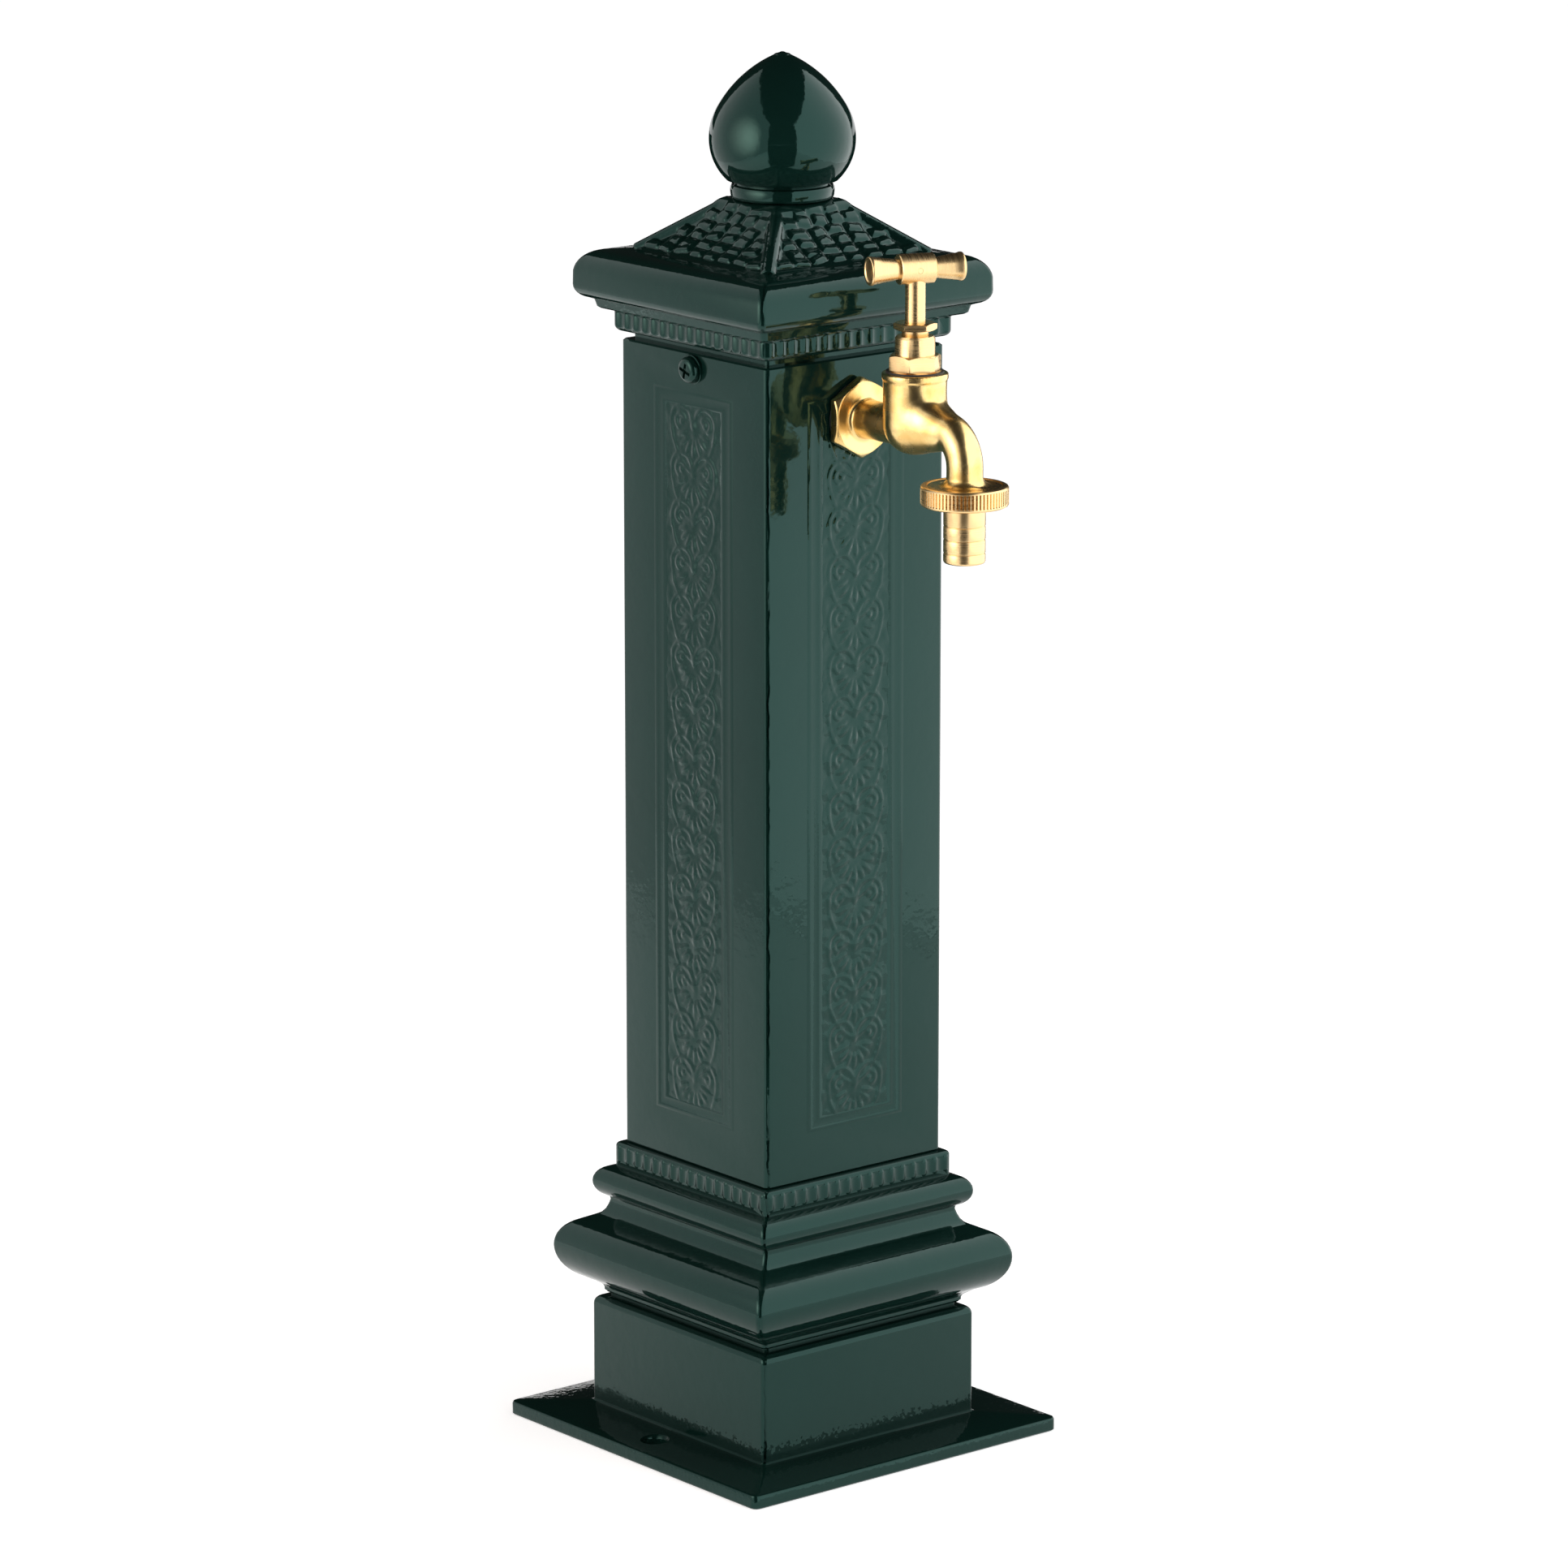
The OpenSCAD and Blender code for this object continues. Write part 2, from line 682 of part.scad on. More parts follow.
module cap() color(green) difference() {
    union() {
        difference() {
            mitred(cap_roll_w) cap_profile();
            mitred(cap_hollow_w) cap_hollow_profile();
        }
        cap_lug();
        mirror([1, 0, 0]) cap_lug();
    }
    translate([0, 0, z_ceiling - past])
        cylinder(d = stud_d + 2 * bolt_clear, h = cap_top_t + 2 * past);
    translate([-shaft_in / 2, 0, z_cap_screw]) rotate([0, 90, 0])
        cylinder(d = cap_screw_d + 2 * fit, h = shaft_in);
}

// Puts a piece on both cap screws, with its +Z pointing out of the shaft's face
module cap_screw_places() {
    for (side = [0, 180]) rotate([0, 0, side])
        translate([shaft_w / 2, 0, z_cap_screw]) rotate([0, 90, 0]) children();
}

module cap_screws() color(green) cap_screw_places() difference() {
    grip = shaft_wall + lug_clear + lug_t;
    union() {
        translate([0, 0, cap_washer_t]) intersection() {
            cylinder(d = cap_screw_head_d, h = cap_screw_head_h);
            translate([0, 0, cap_screw_head_h - cap_screw_head_d]) sphere(cap_screw_head_d);
        }
        translate([0, 0, -grip]) cylinder(d = cap_screw_d, h = grip + cap_washer_t);
    }
    for (turn = [0, 90]) rotate([0, 0, turn])
        translate([-cross_len / 2, -cross_w / 2, cap_washer_t + cap_screw_head_h / 2])
            cube([cross_len, cross_w, cap_screw_head_h]);
}

module cap_screw_washers() color(green) cap_screw_places() {
    ring(cap_washer_d, cap_screw_d + 2 * fit, cap_washer_t);
}

// Finial: collar, pointed ball and stud in one casting

module finial_profile() {
    z_ball = z_roof + collar_h;
    z_wide = z_ball + ball_low_h;
    tip_rise = ball_top_r * sin(ball_tip_angle);
    tip_r = ball_d / 2 - ball_top_r + ball_top_r * cos(ball_tip_angle);
    tip_centre = [tip_r - ball_tip_r * cos(ball_tip_angle), tip_rise - ball_tip_r * sin(ball_tip_angle)];
    translate([0, z_roof]) square([collar_d / 2, collar_h + past]);
    intersection() {
        translate([ball_d / 2 - ball_low_r, z_wide]) circle(ball_low_r, $fn = 128);
        translate([0, z_ball]) square([ball_d, ball_low_h]);
    }
    intersection() {
        translate([ball_d / 2 - ball_top_r, z_wide]) circle(ball_top_r, $fn = 128);
        translate([0, z_wide]) square([ball_d, tip_rise]);
    }
    intersection() {
        translate([tip_centre[0], z_wide + tip_centre[1]]) circle(ball_tip_r, $fn = 128);
        translate([0, z_wide + tip_rise]) square([ball_d, ball_tip_r]);
    }
    translate([0, z_ceiling - stud_nut_t - stud_past])
        square([stud_d / 2, cap_top_t + stud_nut_t + stud_past + past]);
}

module finial() color(green) rotate_extrude() finial_profile();

module finial_nut() color(steel) translate([0, 0, z_ceiling - stud_nut_t]) difference() {
    hex_prism(stud_nut_af, stud_nut_t);
    translate([0, 0, -past]) cylinder(d = stud_d + 2 * fit, h = stud_nut_t + 2 * past);
}

// Tap body: threaded inlet, hexagon flange, shank, barrel and bent spout in one casting

module barrel_profile() {
    z_low = z_tap + barrel_low;
    intersection() {
        translate([0, z_low]) circle(barrel_d / 2);
        translate([0, z_low - barrel_d]) square([barrel_d, barrel_d]);
    }
    translate([0, z_low]) square([barrel_d / 2, z_rim - z_low]);
    translate([0, z_rim - rim_h]) square([rim_d / 2, rim_h]);
}

// A bent rod round the spout's bend from a start angle below the horizontal run to the outlet
module spout_bend(d, start) {
    translate([0, y_bend, z_bend]) rotate([90, 0, 90]) rotate([0, 0, 90 + start])
        rotate_extrude(angle = 90 - start) translate([spout_bend_r, 0]) circle(d = d);
}

module hex_flange() {
    intersection() {
        rotate([0, 0, flange_turn]) hex_prism(flange_af, flange_t);
        translate([0, 0, -past])
            cylinder(d1 = flange_af + 2 * (flange_t + past), d2 = flange_af, h = flange_t + past);
    }
}

module tap_form() {
    z_run = z_tap + spout_rise;
    on_inlet(y_inlet) cylinder(d = inlet_d, h = inlet_len);
    on_inlet(y_flange) hex_flange();
    on_inlet(y_flange - flange_t) fillet_ring(shank_d - 2 * fillet_bite, shank_fillet);
    on_inlet(y_flange) cylinder(d = shank_d, h = barrel_reach);
    on_barrel(0) rotate_extrude() barrel_profile();
    translate([0, y_barrel, z_run]) rotate([90, 0, 0])
        cylinder(d1 = spout_root_d, d2 = spout_d, h = y_barrel - y_bend);
    spout_bend(spout_d, 0);
    on_outlet(z_outlet) cylinder(d = spout_d, h = z_bend - z_outlet);
    on_outlet(z_outlet) cylinder(d = outlet_d, h = outlet_len);
    on_outlet(z_outlet + outlet_len) fillet_ring(spout_d - 2 * fillet_bite, outlet_fillet);
}

module tap_waterway() {
    bend_dir = [cos(spout_bore_angle), sin(spout_bore_angle)];
    bend_start = [y_bend - spout_bend_r * bend_dir[1], z_bend + spout_bend_r * bend_dir[0]];
    feed_len = (y_barrel - chamber_d / 2 + feed_in - bend_start[0]) / bend_dir[0];
    well_axis = z_seat - well_depth + slant_bore / 2 + bore_step;
    drill([y_inlet + past, z_tap], [y_flange - flange_t, z_tap], inlet_bore);
    drill([y_flange - flange_t / 2, z_tap], [y_barrel, well_axis], slant_bore);
    on_barrel(z_seat - well_depth) cylinder(d = seat_d, h = well_depth + past);
    on_barrel(z_seat) cylinder(d = chamber_d, h = z_rim - z_seat);
    on_barrel(z_bonnet - face_gap) cylinder(d = bonnet_d + 2 * fit, h = bonnet_len + past);
    drill(bend_start - bend_dir * bore_step, bend_start + bend_dir * feed_len, feed_bore);
    spout_bend(feed_bore + bore_step, spout_bore_angle);
    on_outlet(z_outlet - past)
        cylinder(d = feed_bore + 2 * bore_step, h = z_bend - z_outlet + past + bore_step);
}

module tap_body() color(brass) difference() {
    tap_form();
    tap_waterway();
}

module wall_gasket() color(rubber) on_inlet(y_pad) {
    ring(flange_af - 2 * seat_margin, inlet_d + 2 * fit, gasket_t);
}

module back_nut() color(brass) on_inlet(-shaft_in / 2 + back_nut_t) difference() {
    hex_prism(back_nut_af, back_nut_t);
    translate([0, 0, -past]) cylinder(d = inlet_d + 2 * fit, h = back_nut_t + 2 * past);
}

// Bonnet, gland and valve

module bonnet() color(brass) on_barrel(0) difference() {
    union() {
        translate([0, 0, z_bonnet]) cylinder(d = bonnet_d, h = bonnet_len + bonnet_gasket_t);
        translate([0, 0, z_bonnet]) cylinder(d = bonnet_neck_d, h = z_gland - z_bonnet);
        translate([0, 0, z_bonnet_hex]) rotate([0, 0, bonnet_turn]) hex_prism(bonnet_af, bonnet_hex_h);
    }
    translate([0, 0, z_bonnet - past])
        cylinder(d = spindle_thread_d + 2 * fit, h = z_thread_end + 2 * face_gap - z_bonnet + past);
    translate([0, 0, z_bonnet]) cylinder(d = spindle_d + 2 * fit, h = z_gland - z_bonnet);
    translate([0, 0, z_packing]) cylinder(d = gland_neck_d + 2 * fit, h = z_gland - z_packing + past);
}

module bonnet_gasket() color(rubber) on_barrel(z_rim) {
    ring(bonnet_gasket_d, bonnet_d + 2 * fit, bonnet_gasket_t);
}

module gland_packing() color(rubber) on_barrel(z_packing) {
    ring(gland_neck_d, spindle_d + 2 * fit, packing_h);
}

module gland_nut() color(brass) on_barrel(0) difference() {
    union() {
        translate([0, 0, z_packing + packing_h])
            cylinder(d = gland_neck_d, h = z_gland_hex - z_packing - packing_h);
        translate([0, 0, z_gland_hex]) rotate([0, 0, gland_turn]) hex_prism(gland_af, gland_hex_h);
    }
    translate([0, 0, z_packing]) cylinder(d = spindle_d + 2 * fit, h = z_gland_top - z_packing + past);
}

// Cross-drill through the hub and the spindle, square to the T bar
module pin_line(d, len) {
    on_barrel(z_bar) rotate([0, 0, bar_turn]) rotate([90, 0, 0])
        cylinder(d = d, h = len, center = true);
}

module spindle() color(brass) difference() {
    on_barrel(0) union() {
        translate([0, 0, z_spindle]) cylinder(d = spindle_thread_d, h = spindle_thread_len);
        translate([0, 0, z_spindle]) cylinder(d = spindle_d, h = z_tang - z_spindle);
        translate([0, 0, z_spindle]) cylinder(d = tang_d, h = z_tang + tang_len - z_spindle);
    }
    on_barrel(z_spindle - past) cylinder(d = jumper_stem_d + 2 * fit, h = jumper_stem_len + 2 * past);
    pin_line(handle_pin_d + 2 * fit, 2 * hub_d);
}

module bar_profile() {
    half = bar_len / 2;
    end_r = bar_end_d / 2;
    square([hub_d / 2, hub_len / 2]);
    difference() {
        polygon([
            [0, 0], [bar_waist_d / 2, 0], [bar_waist_d / 2, hub_len / 2],
            [end_r - lip_round, half - lip_h - lip_round], [end_r, half - lip_h],
            [end_r, half - lip_round], [end_r - lip_round, half], [0, half]
        ]);
        translate([0, half - bar_dish]) square([end_r - lip_w, 2 * bar_dish]);
    }
}

module t_handle() color(brass) difference() {
    on_barrel(z_bar) rotate([0, 0, bar_turn]) rotate([0, 90, 0]) rotate_extrude() {
        bar_profile();
        mirror([0, 1]) bar_profile();
    }
    on_barrel(z_hub - past)
        cylinder(d = tang_d + 2 * fit, h = z_tang + tang_len + face_gap - z_hub + past);
    on_barrel(z_hub - past) cylinder(d = spindle_d + 2 * fit, h = z_tang - z_hub + past);
    pin_line(handle_pin_d + 2 * fit, 2 * hub_d);
}

module handle_pin() color(brass) pin_line(handle_pin_d, hub_d - 2 * pin_sink);

module jumper() color(brass) on_barrel(z_jumper) difference() {
    union() {
        cylinder(d = washer_d + 2 * jumper_rim, h = jumper_t);
        cylinder(d = jumper_stem_d, h = jumper_t + jumper_stem_len);
    }
    translate([0, 0, -past]) cylinder(d = washer_screw_d + 2 * fit, h = jumper_t + past);
}

module seat_washer() color(rubber) on_barrel(z_washer) {
    ring(washer_d, washer_screw_d + 2 * fit, washer_t);
}

module washer_screw() color(brass) on_barrel(z_washer) {
    translate([0, 0, -washer_screw_d]) cylinder(d = 2 * washer_screw_d, h = washer_screw_d);
    cylinder(d = washer_screw_d, h = washer_t + jumper_t - end_gap);
}

// Hose union: nut, tail and washer under the outlet

// Outline of the union nut: straight ribs with V grooves between them
module ribbed_outline() {
    half_step = 180 / rib_count;
    polygon([
        for (i = [0:2 * rib_count - 1])
            (union_d / 2 - (i % 2) * rib_depth) * [cos(i * half_step), sin(i * half_step)]
    ]);
}

module union_nut() color(brass) on_outlet(z_union) difference() {
    linear_extrude(height = union_h) ribbed_outline();
    translate([0, 0, union_floor]) cylinder(d = outlet_d + 2 * fit, h = union_h);
    translate([0, 0, -past]) cylinder(d = tail_stop_d + 2 * bolt_clear, h = union_h);
}

module tail_profile() {
    difference() {
        union() {
            translate([0, z_tail + tail_round]) square([tail_d / 2, z_tail_collar - z_tail]);
            translate([0, z_tail]) square([tail_d / 2 - tail_round, tail_round]);
            translate([tail_d / 2 - tail_round, z_tail + tail_round]) circle(tail_round);
            translate([0, z_union - stop_show])
                square([tail_stop_d / 2, z_hose_washer - z_union + stop_show]);
            translate([0, z_tail_collar]) square([tail_collar_d / 2, tail_collar_t]);
        }
        translate([0, z_tail - past]) square([tail_bore / 2, z_hose_washer - z_tail + 2 * past]);
        for (i = [0:groove_count - 1]) {
            z = z_union - groove_start - i * groove_pitch;
            polygon([[tail_d / 2, z], [tail_d / 2 - groove_depth, z], [tail_d / 2, z - 2 * groove_depth]]);
        }
    }
}

module hose_tail() color(brass) on_outlet(0) rotate_extrude() tail_profile();

module hose_washer() color(rubber) on_outlet(z_hose_washer) {
    ring(tail_collar_d, tail_bore, hose_washer_t);
}

// Supply pipe: elbow on the tap's inlet, compression joints, riser and inlet coupling

module elbow() color(brass) difference() {
    union() {
        on_inlet(y_riser) cylinder(d = elbow_d, h = y_riser - y_inlet);
        on_inlet(y_inlet + elbow_floor) cylinder(d = elbow_socket_d, h = elbow_floor + elbow_grip);
        on_riser(z_tap) sphere(d = elbow_d);
        on_riser(z_elbow_thread) cylinder(d = elbow_d, h = elbow_leg);
        on_riser(z_elbow_end) cylinder(d = comp_thread_d, h = comp_thread_len);
    }
    on_inlet(y_inlet + face_gap) cylinder(d = inlet_d + 2 * fit, h = inlet_len);
    on_inlet(y_riser) cylinder(d = water_bore, h = inlet_len);
    on_riser(z_elbow_end - past) cylinder(d = riser_d + 2 * fit, h = socket_depth + past);
    on_riser(z_elbow_end) cylinder(d = water_bore, h = z_tap - z_elbow_end);
}

// Compression nut whose threaded mouth is at the top, with the thread's end at z = 0
module compression_nut() {
    translate([0, 0, comp_grip - comp_nut_h]) difference() {
        hex_prism(comp_nut_af, comp_nut_h);
        translate([0, 0, -past]) cylinder(d = riser_d + 2 * fit, h = comp_nut_h);
        translate([0, 0, comp_nut_h - comp_grip - olive_len - face_gap])
            cylinder(d = comp_thread_d + 2 * fit, h = comp_nut_h);
    }
}

// Olive: a ring with a swelling outside, from z = 0 downwards
module olive() {
    swell = 0.6;
    r_in = riser_d / 2 + fit;
    translate([0, 0, -olive_len]) rotate_extrude()
        polygon([
            [r_in, 0], [r_in + swell, 0], [r_in + 2 * swell, olive_len / 2],
            [r_in + swell, olive_len], [r_in, olive_len]
        ]);
}

module riser_nut() color(brass) on_riser(z_elbow_end) compression_nut();

module riser_olive() color(brass) on_riser(z_elbow_end) olive();

module riser_pipe() color(copper) on_riser(riser_foot + face_gap) {
    ring(riser_d, riser_d - 2 * riser_wall, z_pipe_top - riser_foot - 2 * face_gap);
}

module inlet_olive() color(brass) on_riser(z_coupling_top) mirror([0, 0, 1]) olive();

module inlet_nut() color(brass) on_riser(z_coupling_top) mirror([0, 0, 1]) compression_nut();

module inlet_coupling() color(brass) on_riser(0) difference() {
    union() {
        translate([0, 0, z_supply]) cylinder(d = inlet_d, h = supply_len);
        translate([0, 0, z_coupling_hex]) hex_prism(comp_nut_af, coupling_hex_h);
        translate([0, 0, z_coupling_hex]) cylinder(d = comp_thread_d, h = z_coupling_top - z_coupling_hex);
    }
    translate([0, 0, z_supply - past]) cylinder(d = water_bore, h = z_coupling_top - z_supply);
    translate([0, 0, riser_foot]) cylinder(d = riser_d + 2 * fit, h = socket_depth + past);
}

base();
shaft();
shaft_bolts();
cap();
cap_screws();
cap_screw_washers();
finial();
finial_nut();
tap_body();
wall_gasket();
back_nut();
elbow();
riser_nut();
riser_olive();
riser_pipe();
inlet_olive();
inlet_nut();
inlet_coupling();
bonnet();
bonnet_gasket();
gland_packing();
gland_nut();
spindle();
t_handle();
handle_pin();
jumper();
seat_washer();
washer_screw();
union_nut();
hose_tail();
hose_washer();
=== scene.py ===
import json
import math
import random

import bpy
from bpy.props import FloatProperty, FloatVectorProperty, IntProperty, PointerProperty
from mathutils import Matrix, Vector

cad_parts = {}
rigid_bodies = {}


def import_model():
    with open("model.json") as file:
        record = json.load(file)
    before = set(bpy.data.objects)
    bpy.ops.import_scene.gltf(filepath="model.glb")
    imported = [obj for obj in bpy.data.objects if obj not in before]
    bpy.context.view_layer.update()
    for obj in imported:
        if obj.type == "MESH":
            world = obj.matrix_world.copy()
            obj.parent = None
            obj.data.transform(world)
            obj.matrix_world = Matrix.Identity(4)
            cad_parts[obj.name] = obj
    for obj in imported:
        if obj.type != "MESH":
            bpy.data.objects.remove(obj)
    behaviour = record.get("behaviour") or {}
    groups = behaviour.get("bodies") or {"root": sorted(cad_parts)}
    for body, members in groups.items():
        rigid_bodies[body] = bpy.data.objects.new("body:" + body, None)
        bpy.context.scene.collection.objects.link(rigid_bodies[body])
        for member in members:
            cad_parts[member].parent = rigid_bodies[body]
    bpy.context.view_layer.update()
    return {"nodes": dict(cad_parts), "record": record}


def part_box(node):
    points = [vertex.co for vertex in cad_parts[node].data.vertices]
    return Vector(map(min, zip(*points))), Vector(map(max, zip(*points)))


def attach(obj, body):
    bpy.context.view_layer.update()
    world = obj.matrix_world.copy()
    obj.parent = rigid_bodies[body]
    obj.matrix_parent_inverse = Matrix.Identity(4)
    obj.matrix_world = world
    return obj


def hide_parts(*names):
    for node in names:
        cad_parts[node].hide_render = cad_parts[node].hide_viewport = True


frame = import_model()

bl_info = {
    "name": "Garden standpipe",
    "version": (1, 0, 0),
    "blender": (4, 5, 0),
    "location": "View3D > Sidebar > Standpipe",
    "description": "Dresses a cast garden standpipe with its brass bib tap and sets it on a pale stage",
    "category": "Object",
}

COLUMN = "root"

# One millimetre in metres, and the distance in metres below which two points are one
MM = 0.001
MERGE = 2e-6

# Rounded corners: the facets of one, and the radius as a share of the half width
CORNER_STEPS = 5
PEDESTAL_CORNER = 0.035
SHAFT_CORNER = 0.045

# Fixed places on the column, in millimetres
HOLE_X = 59
SHAFT_HALF = 40
SHAFT_INNER = 36
WAY_HALF = 23
PANEL_LOW = 120.9
PANEL_HIGH = 381.2
PANEL_TALL = 260.3
PANEL_HALF = 21.8
PANEL_MIDDLE = (PANEL_LOW + PANEL_HIGH) / 2
FIELD_Y = -39.88
SCREW_Z = 389.5
COLLAR_Z = 445.5

# Axes of the tap, in millimetres
BARREL_Y = -71.2
OUTLET_Y = -97.4
INLET_Z = 374
HANDLE_Z = 429.5
HANDLE_TURN = -20.5

# The studio, in metres: lit walls beside the column, the flags' height and the floor's width
WALL_AWAY = 0.75
WALL_TALL = 1.75
WALL_MIDDLE = 0.88
WALL_NEAR = -0.9
WALL_FAR = 1.86
FLAG_Z = 3 * MM
FLOOR_WIDE = 30


# Sizes and colours that a user would change

def linear(code):
    """Turns an sRGB hex colour into linear RGB."""
    parts = [int(code[i:i + 2], 16) / 255 for i in (1, 3, 5)]
    return [c / 12.92 if c <= 0.04045 else ((c + 0.055) / 1.055) ** 2.4 for c in parts]


def length(name, description, millimetres):
    """A length property, given in millimetres and kept in metres."""
    return FloatProperty(name=name, description=description, default=millimetres * MM,
                         unit="LENGTH", precision=5, min=0.0)


def colour(name, description, code):
    """A colour property, given as an sRGB hex value."""
    return FloatVectorProperty(name=name, description=description, default=linear(code),
                               subtype="COLOR", size=3, min=0.0, max=1.0)


class StandpipeColumn(bpy.types.PropertyGroup):
    """Sizes of the painted column."""
    plinth: length("Plinth", "Half width of the pedestal's plinth", 48.7)
    roll: length("Large roll", "Half width over the pedestal's large roll", 59.0)
    bead: length("Bead", "Half width over the small roll above it", 48.9)
    band: length("Pedestal band", "Half width of the tongue band", 42.7)
    cap_band: length("Cap band", "Half width of the cap's tongue band", 42.1)
    cap_roll: length("Cap roll", "Half width over the cap's roll", 52.6)
    tongues: IntProperty(name="Tongues", description="Tongues on each side of a band", default=17, min=3)
    units: IntProperty(name="Palmettes", description="Palmettes stacked on a panel", default=15, min=3)
    rows: IntProperty(name="Roof rows", description="Rows of scales on each side of the roof",
                      default=6, min=2)
    relief: length("Relief", "Height of the panel ornament", 0.33)
    seam: length("Seam", "Width of the open casting seam on the corners", 0.75)


class StandpipeTap(bpy.types.PropertyGroup):
    """Sizes of the brass tap."""
    voxel: length("Casting grain", "Mesh size of the cast tap body", 0.42)
    ribs: IntProperty(name="Nut ribs", description="Ribs round the union nut", default=72, min=12)
    edge: length("Worked edge", "Width of the broken edges on turned parts", 0.25)


class StandpipeFinish(bpy.types.PropertyGroup):
    """Colours of the finishes."""
    paint: colour("Paint", "Gloss enamel on the column", "#081D19")
    paint_deep: colour("Deep paint", "Thicker coats of the same enamel", "#061713")
    sheen: colour("Sheen", "Tint of the enamel's reflections", "#B8FFF3")
    cast: colour("Cast brass", "Polished brass of the tap body", "#EFCF8F")
    cast_deep: colour("Handled brass", "Duller patches of the tap body", "#D6B069")
    turned: colour("Turned brass", "Brass of the turned parts", "#EDCB94")
    zinc: colour("Zinc", "Zinc plating on bolts and nuts", "#B4B7BA")
    copper: colour("Copper", "Drawn copper of the supply pipe", "#B8714E")
    rubber: colour("Rubber", "Seals and washers", "#1B1B1D")


class StandpipeStage(bpy.types.PropertyGroup):
    """The camera and the studio round the object."""
    lens: FloatProperty(name="Lens", description="Focal length on a 36 mm sensor", default=171.03, min=10)
    azimuth: FloatProperty(name="Azimuth", description="Camera's turn round the column, from its front",
                           default=math.radians(-39.465), subtype="ANGLE")
    elevation: FloatProperty(name="Elevation", description="Camera's angle above the floor",
                             default=math.radians(13.16), subtype="ANGLE")
    distance: length("Distance", "From the camera to the column's middle", 2627.06)
    target: length("Target height", "Height of the point that the camera looks at", 250.0)


# Selecting and shaping by operators

def clear():
    """Leaves edit mode with nothing selected."""
    if bpy.context.mode != "OBJECT":
        bpy.ops.object.mode_set(mode="OBJECT")
    bpy.ops.object.select_all(action="DESELECT")


def pick(piece):
    """Leaves edit mode, selects one piece and makes it active."""
    clear()
    piece.select_set(True)
    bpy.context.view_layer.objects.active = piece


def made(name=None):
    """The object that the last operator made, named where a name is given."""
    piece = bpy.context.active_object
    if name:
        piece.name = name
    return piece


def edit(piece):
    """Opens a piece in edit mode with all of it selected."""
    pick(piece)
    bpy.ops.object.mode_set(mode="EDIT")
    bpy.ops.mesh.select_mode(type="VERT")
    bpy.ops.mesh.select_all(action="SELECT")


def close(piece):
    """Merges doubles, turns the faces outwards and goes back to object mode."""
    bpy.ops.mesh.select_all(action="SELECT")
    bpy.ops.mesh.remove_doubles(threshold=MERGE)
    bpy.ops.mesh.normals_make_consistent(inside=False)
    bpy.ops.object.mode_set(mode="OBJECT")
    return piece


def settle(piece):
    """Puts the place, turn and scale of the selected piece into its mesh."""
    bpy.ops.object.transform_apply(location=True, rotation=True, scale=True)
    return piece


def place(piece, move=(0, 0, 0), turn=(0, 0, 0)):
    """Turns a piece by degrees, moves it by millimetres and puts its place into its mesh."""
    pick(piece)
    piece.rotation_euler = [math.radians(a) for a in turn]
    piece.location = Vector(move) * MM
    return settle(piece)


def copy(piece):
    """A copy with a mesh of its own."""
    pick(piece)
    bpy.ops.object.duplicate(linked=False)
    return made()


def join(pieces):
    """Joins several pieces into the first."""
    pick(pieces[0])
    for piece in pieces:
        piece.select_set(True)
    bpy.ops.object.join()
    return pieces[0]


def round_column(piece, count=4):
    """Repeats a piece on every side of the column."""
    sides = [piece]
    for i in range(1, count):
        sides.append(place(copy(piece), turn=(0, 0, 360 * i / count)))
    return sides


def apply(piece, kind, **settings):
    """Adds a modifier and applies it."""
    pick(piece)
    modifier = piece.modifiers.new(kind.title(), kind)
    for key, value in settings.items():
        setattr(modifier, key, value)
    bpy.ops.object.modifier_apply(modifier=modifier.name)
    return piece


def repeat(piece, count, step):
    """Repeats a piece in a row, at a step in metres."""
    return apply(piece, "ARRAY", count=count, use_relative_offset=False, use_constant_offset=True,
                 constant_offset_displace=step)


def carve(piece, tool, operation="DIFFERENCE"):
    """Cuts a tool out of a piece, or joins or meets it, and removes the tool."""
    apply(piece, "BOOLEAN", operation=operation, object=tool, solver="EXACT", use_self=True)
    bpy.data.objects.remove(tool)


def smooth(piece, angle=35):
    """Shades a piece smooth up to an edge angle in degrees."""
    pick(piece)
    bpy.ops.object.shade_smooth_by_angle(angle=math.radians(angle))


def arc(centre, radius, start, end, steps=8):
    """Points on an arc, with angles in degrees from outwards to upwards."""
    angles = [math.radians(start + (end - start) * i / steps) for i in range(steps + 1)]
    return [(centre[0] + radius * math.cos(a), centre[1] + radius * math.sin(a)) for a in angles]


def sweep(name, profile, corner=None, sides=96, hollow=True):
    """Draws a ring through (half width, height) points in millimetres.

    With a corner share the ring is a rounded square, otherwise a circle. A hollow
    profile goes back to its first point. A solid one has a flat face at both ends."""
    clear()
    half, height = profile[0]
    path = profile[1:] + profile[:1] if hollow else profile[1:]
    if corner:
        bpy.ops.mesh.primitive_plane_add(size=2 * half * MM, location=(0, 0, height * MM))
    else:
        fill = "NOTHING" if hollow else "NGON"
        bpy.ops.mesh.primitive_circle_add(vertices=sides, radius=half * MM, fill_type=fill,
                                          location=(0, 0, height * MM))
    piece = made(name)
    edit(piece)
    if corner:
        bpy.ops.mesh.bevel(offset=half * corner * MM, segments=CORNER_STEPS, affect="VERTICES")
        bpy.ops.mesh.select_all(action="SELECT")
        if hollow:
            bpy.ops.mesh.delete(type="ONLY_FACE")
    bpy.ops.mesh.select_all(action="SELECT")
    for new_half, new_height in path:
        rise = (new_height - height) * MM
        bpy.ops.mesh.extrude_region_move(TRANSFORM_OT_translate={"value": (0, 0, rise)})
        grow = new_half / half
        bpy.ops.transform.resize(value=(grow, grow, 1), center_override=(0, 0, 0))
        half, height = new_half, new_height
    close(piece)
    return place(piece, move=Vector(piece.location) / MM)


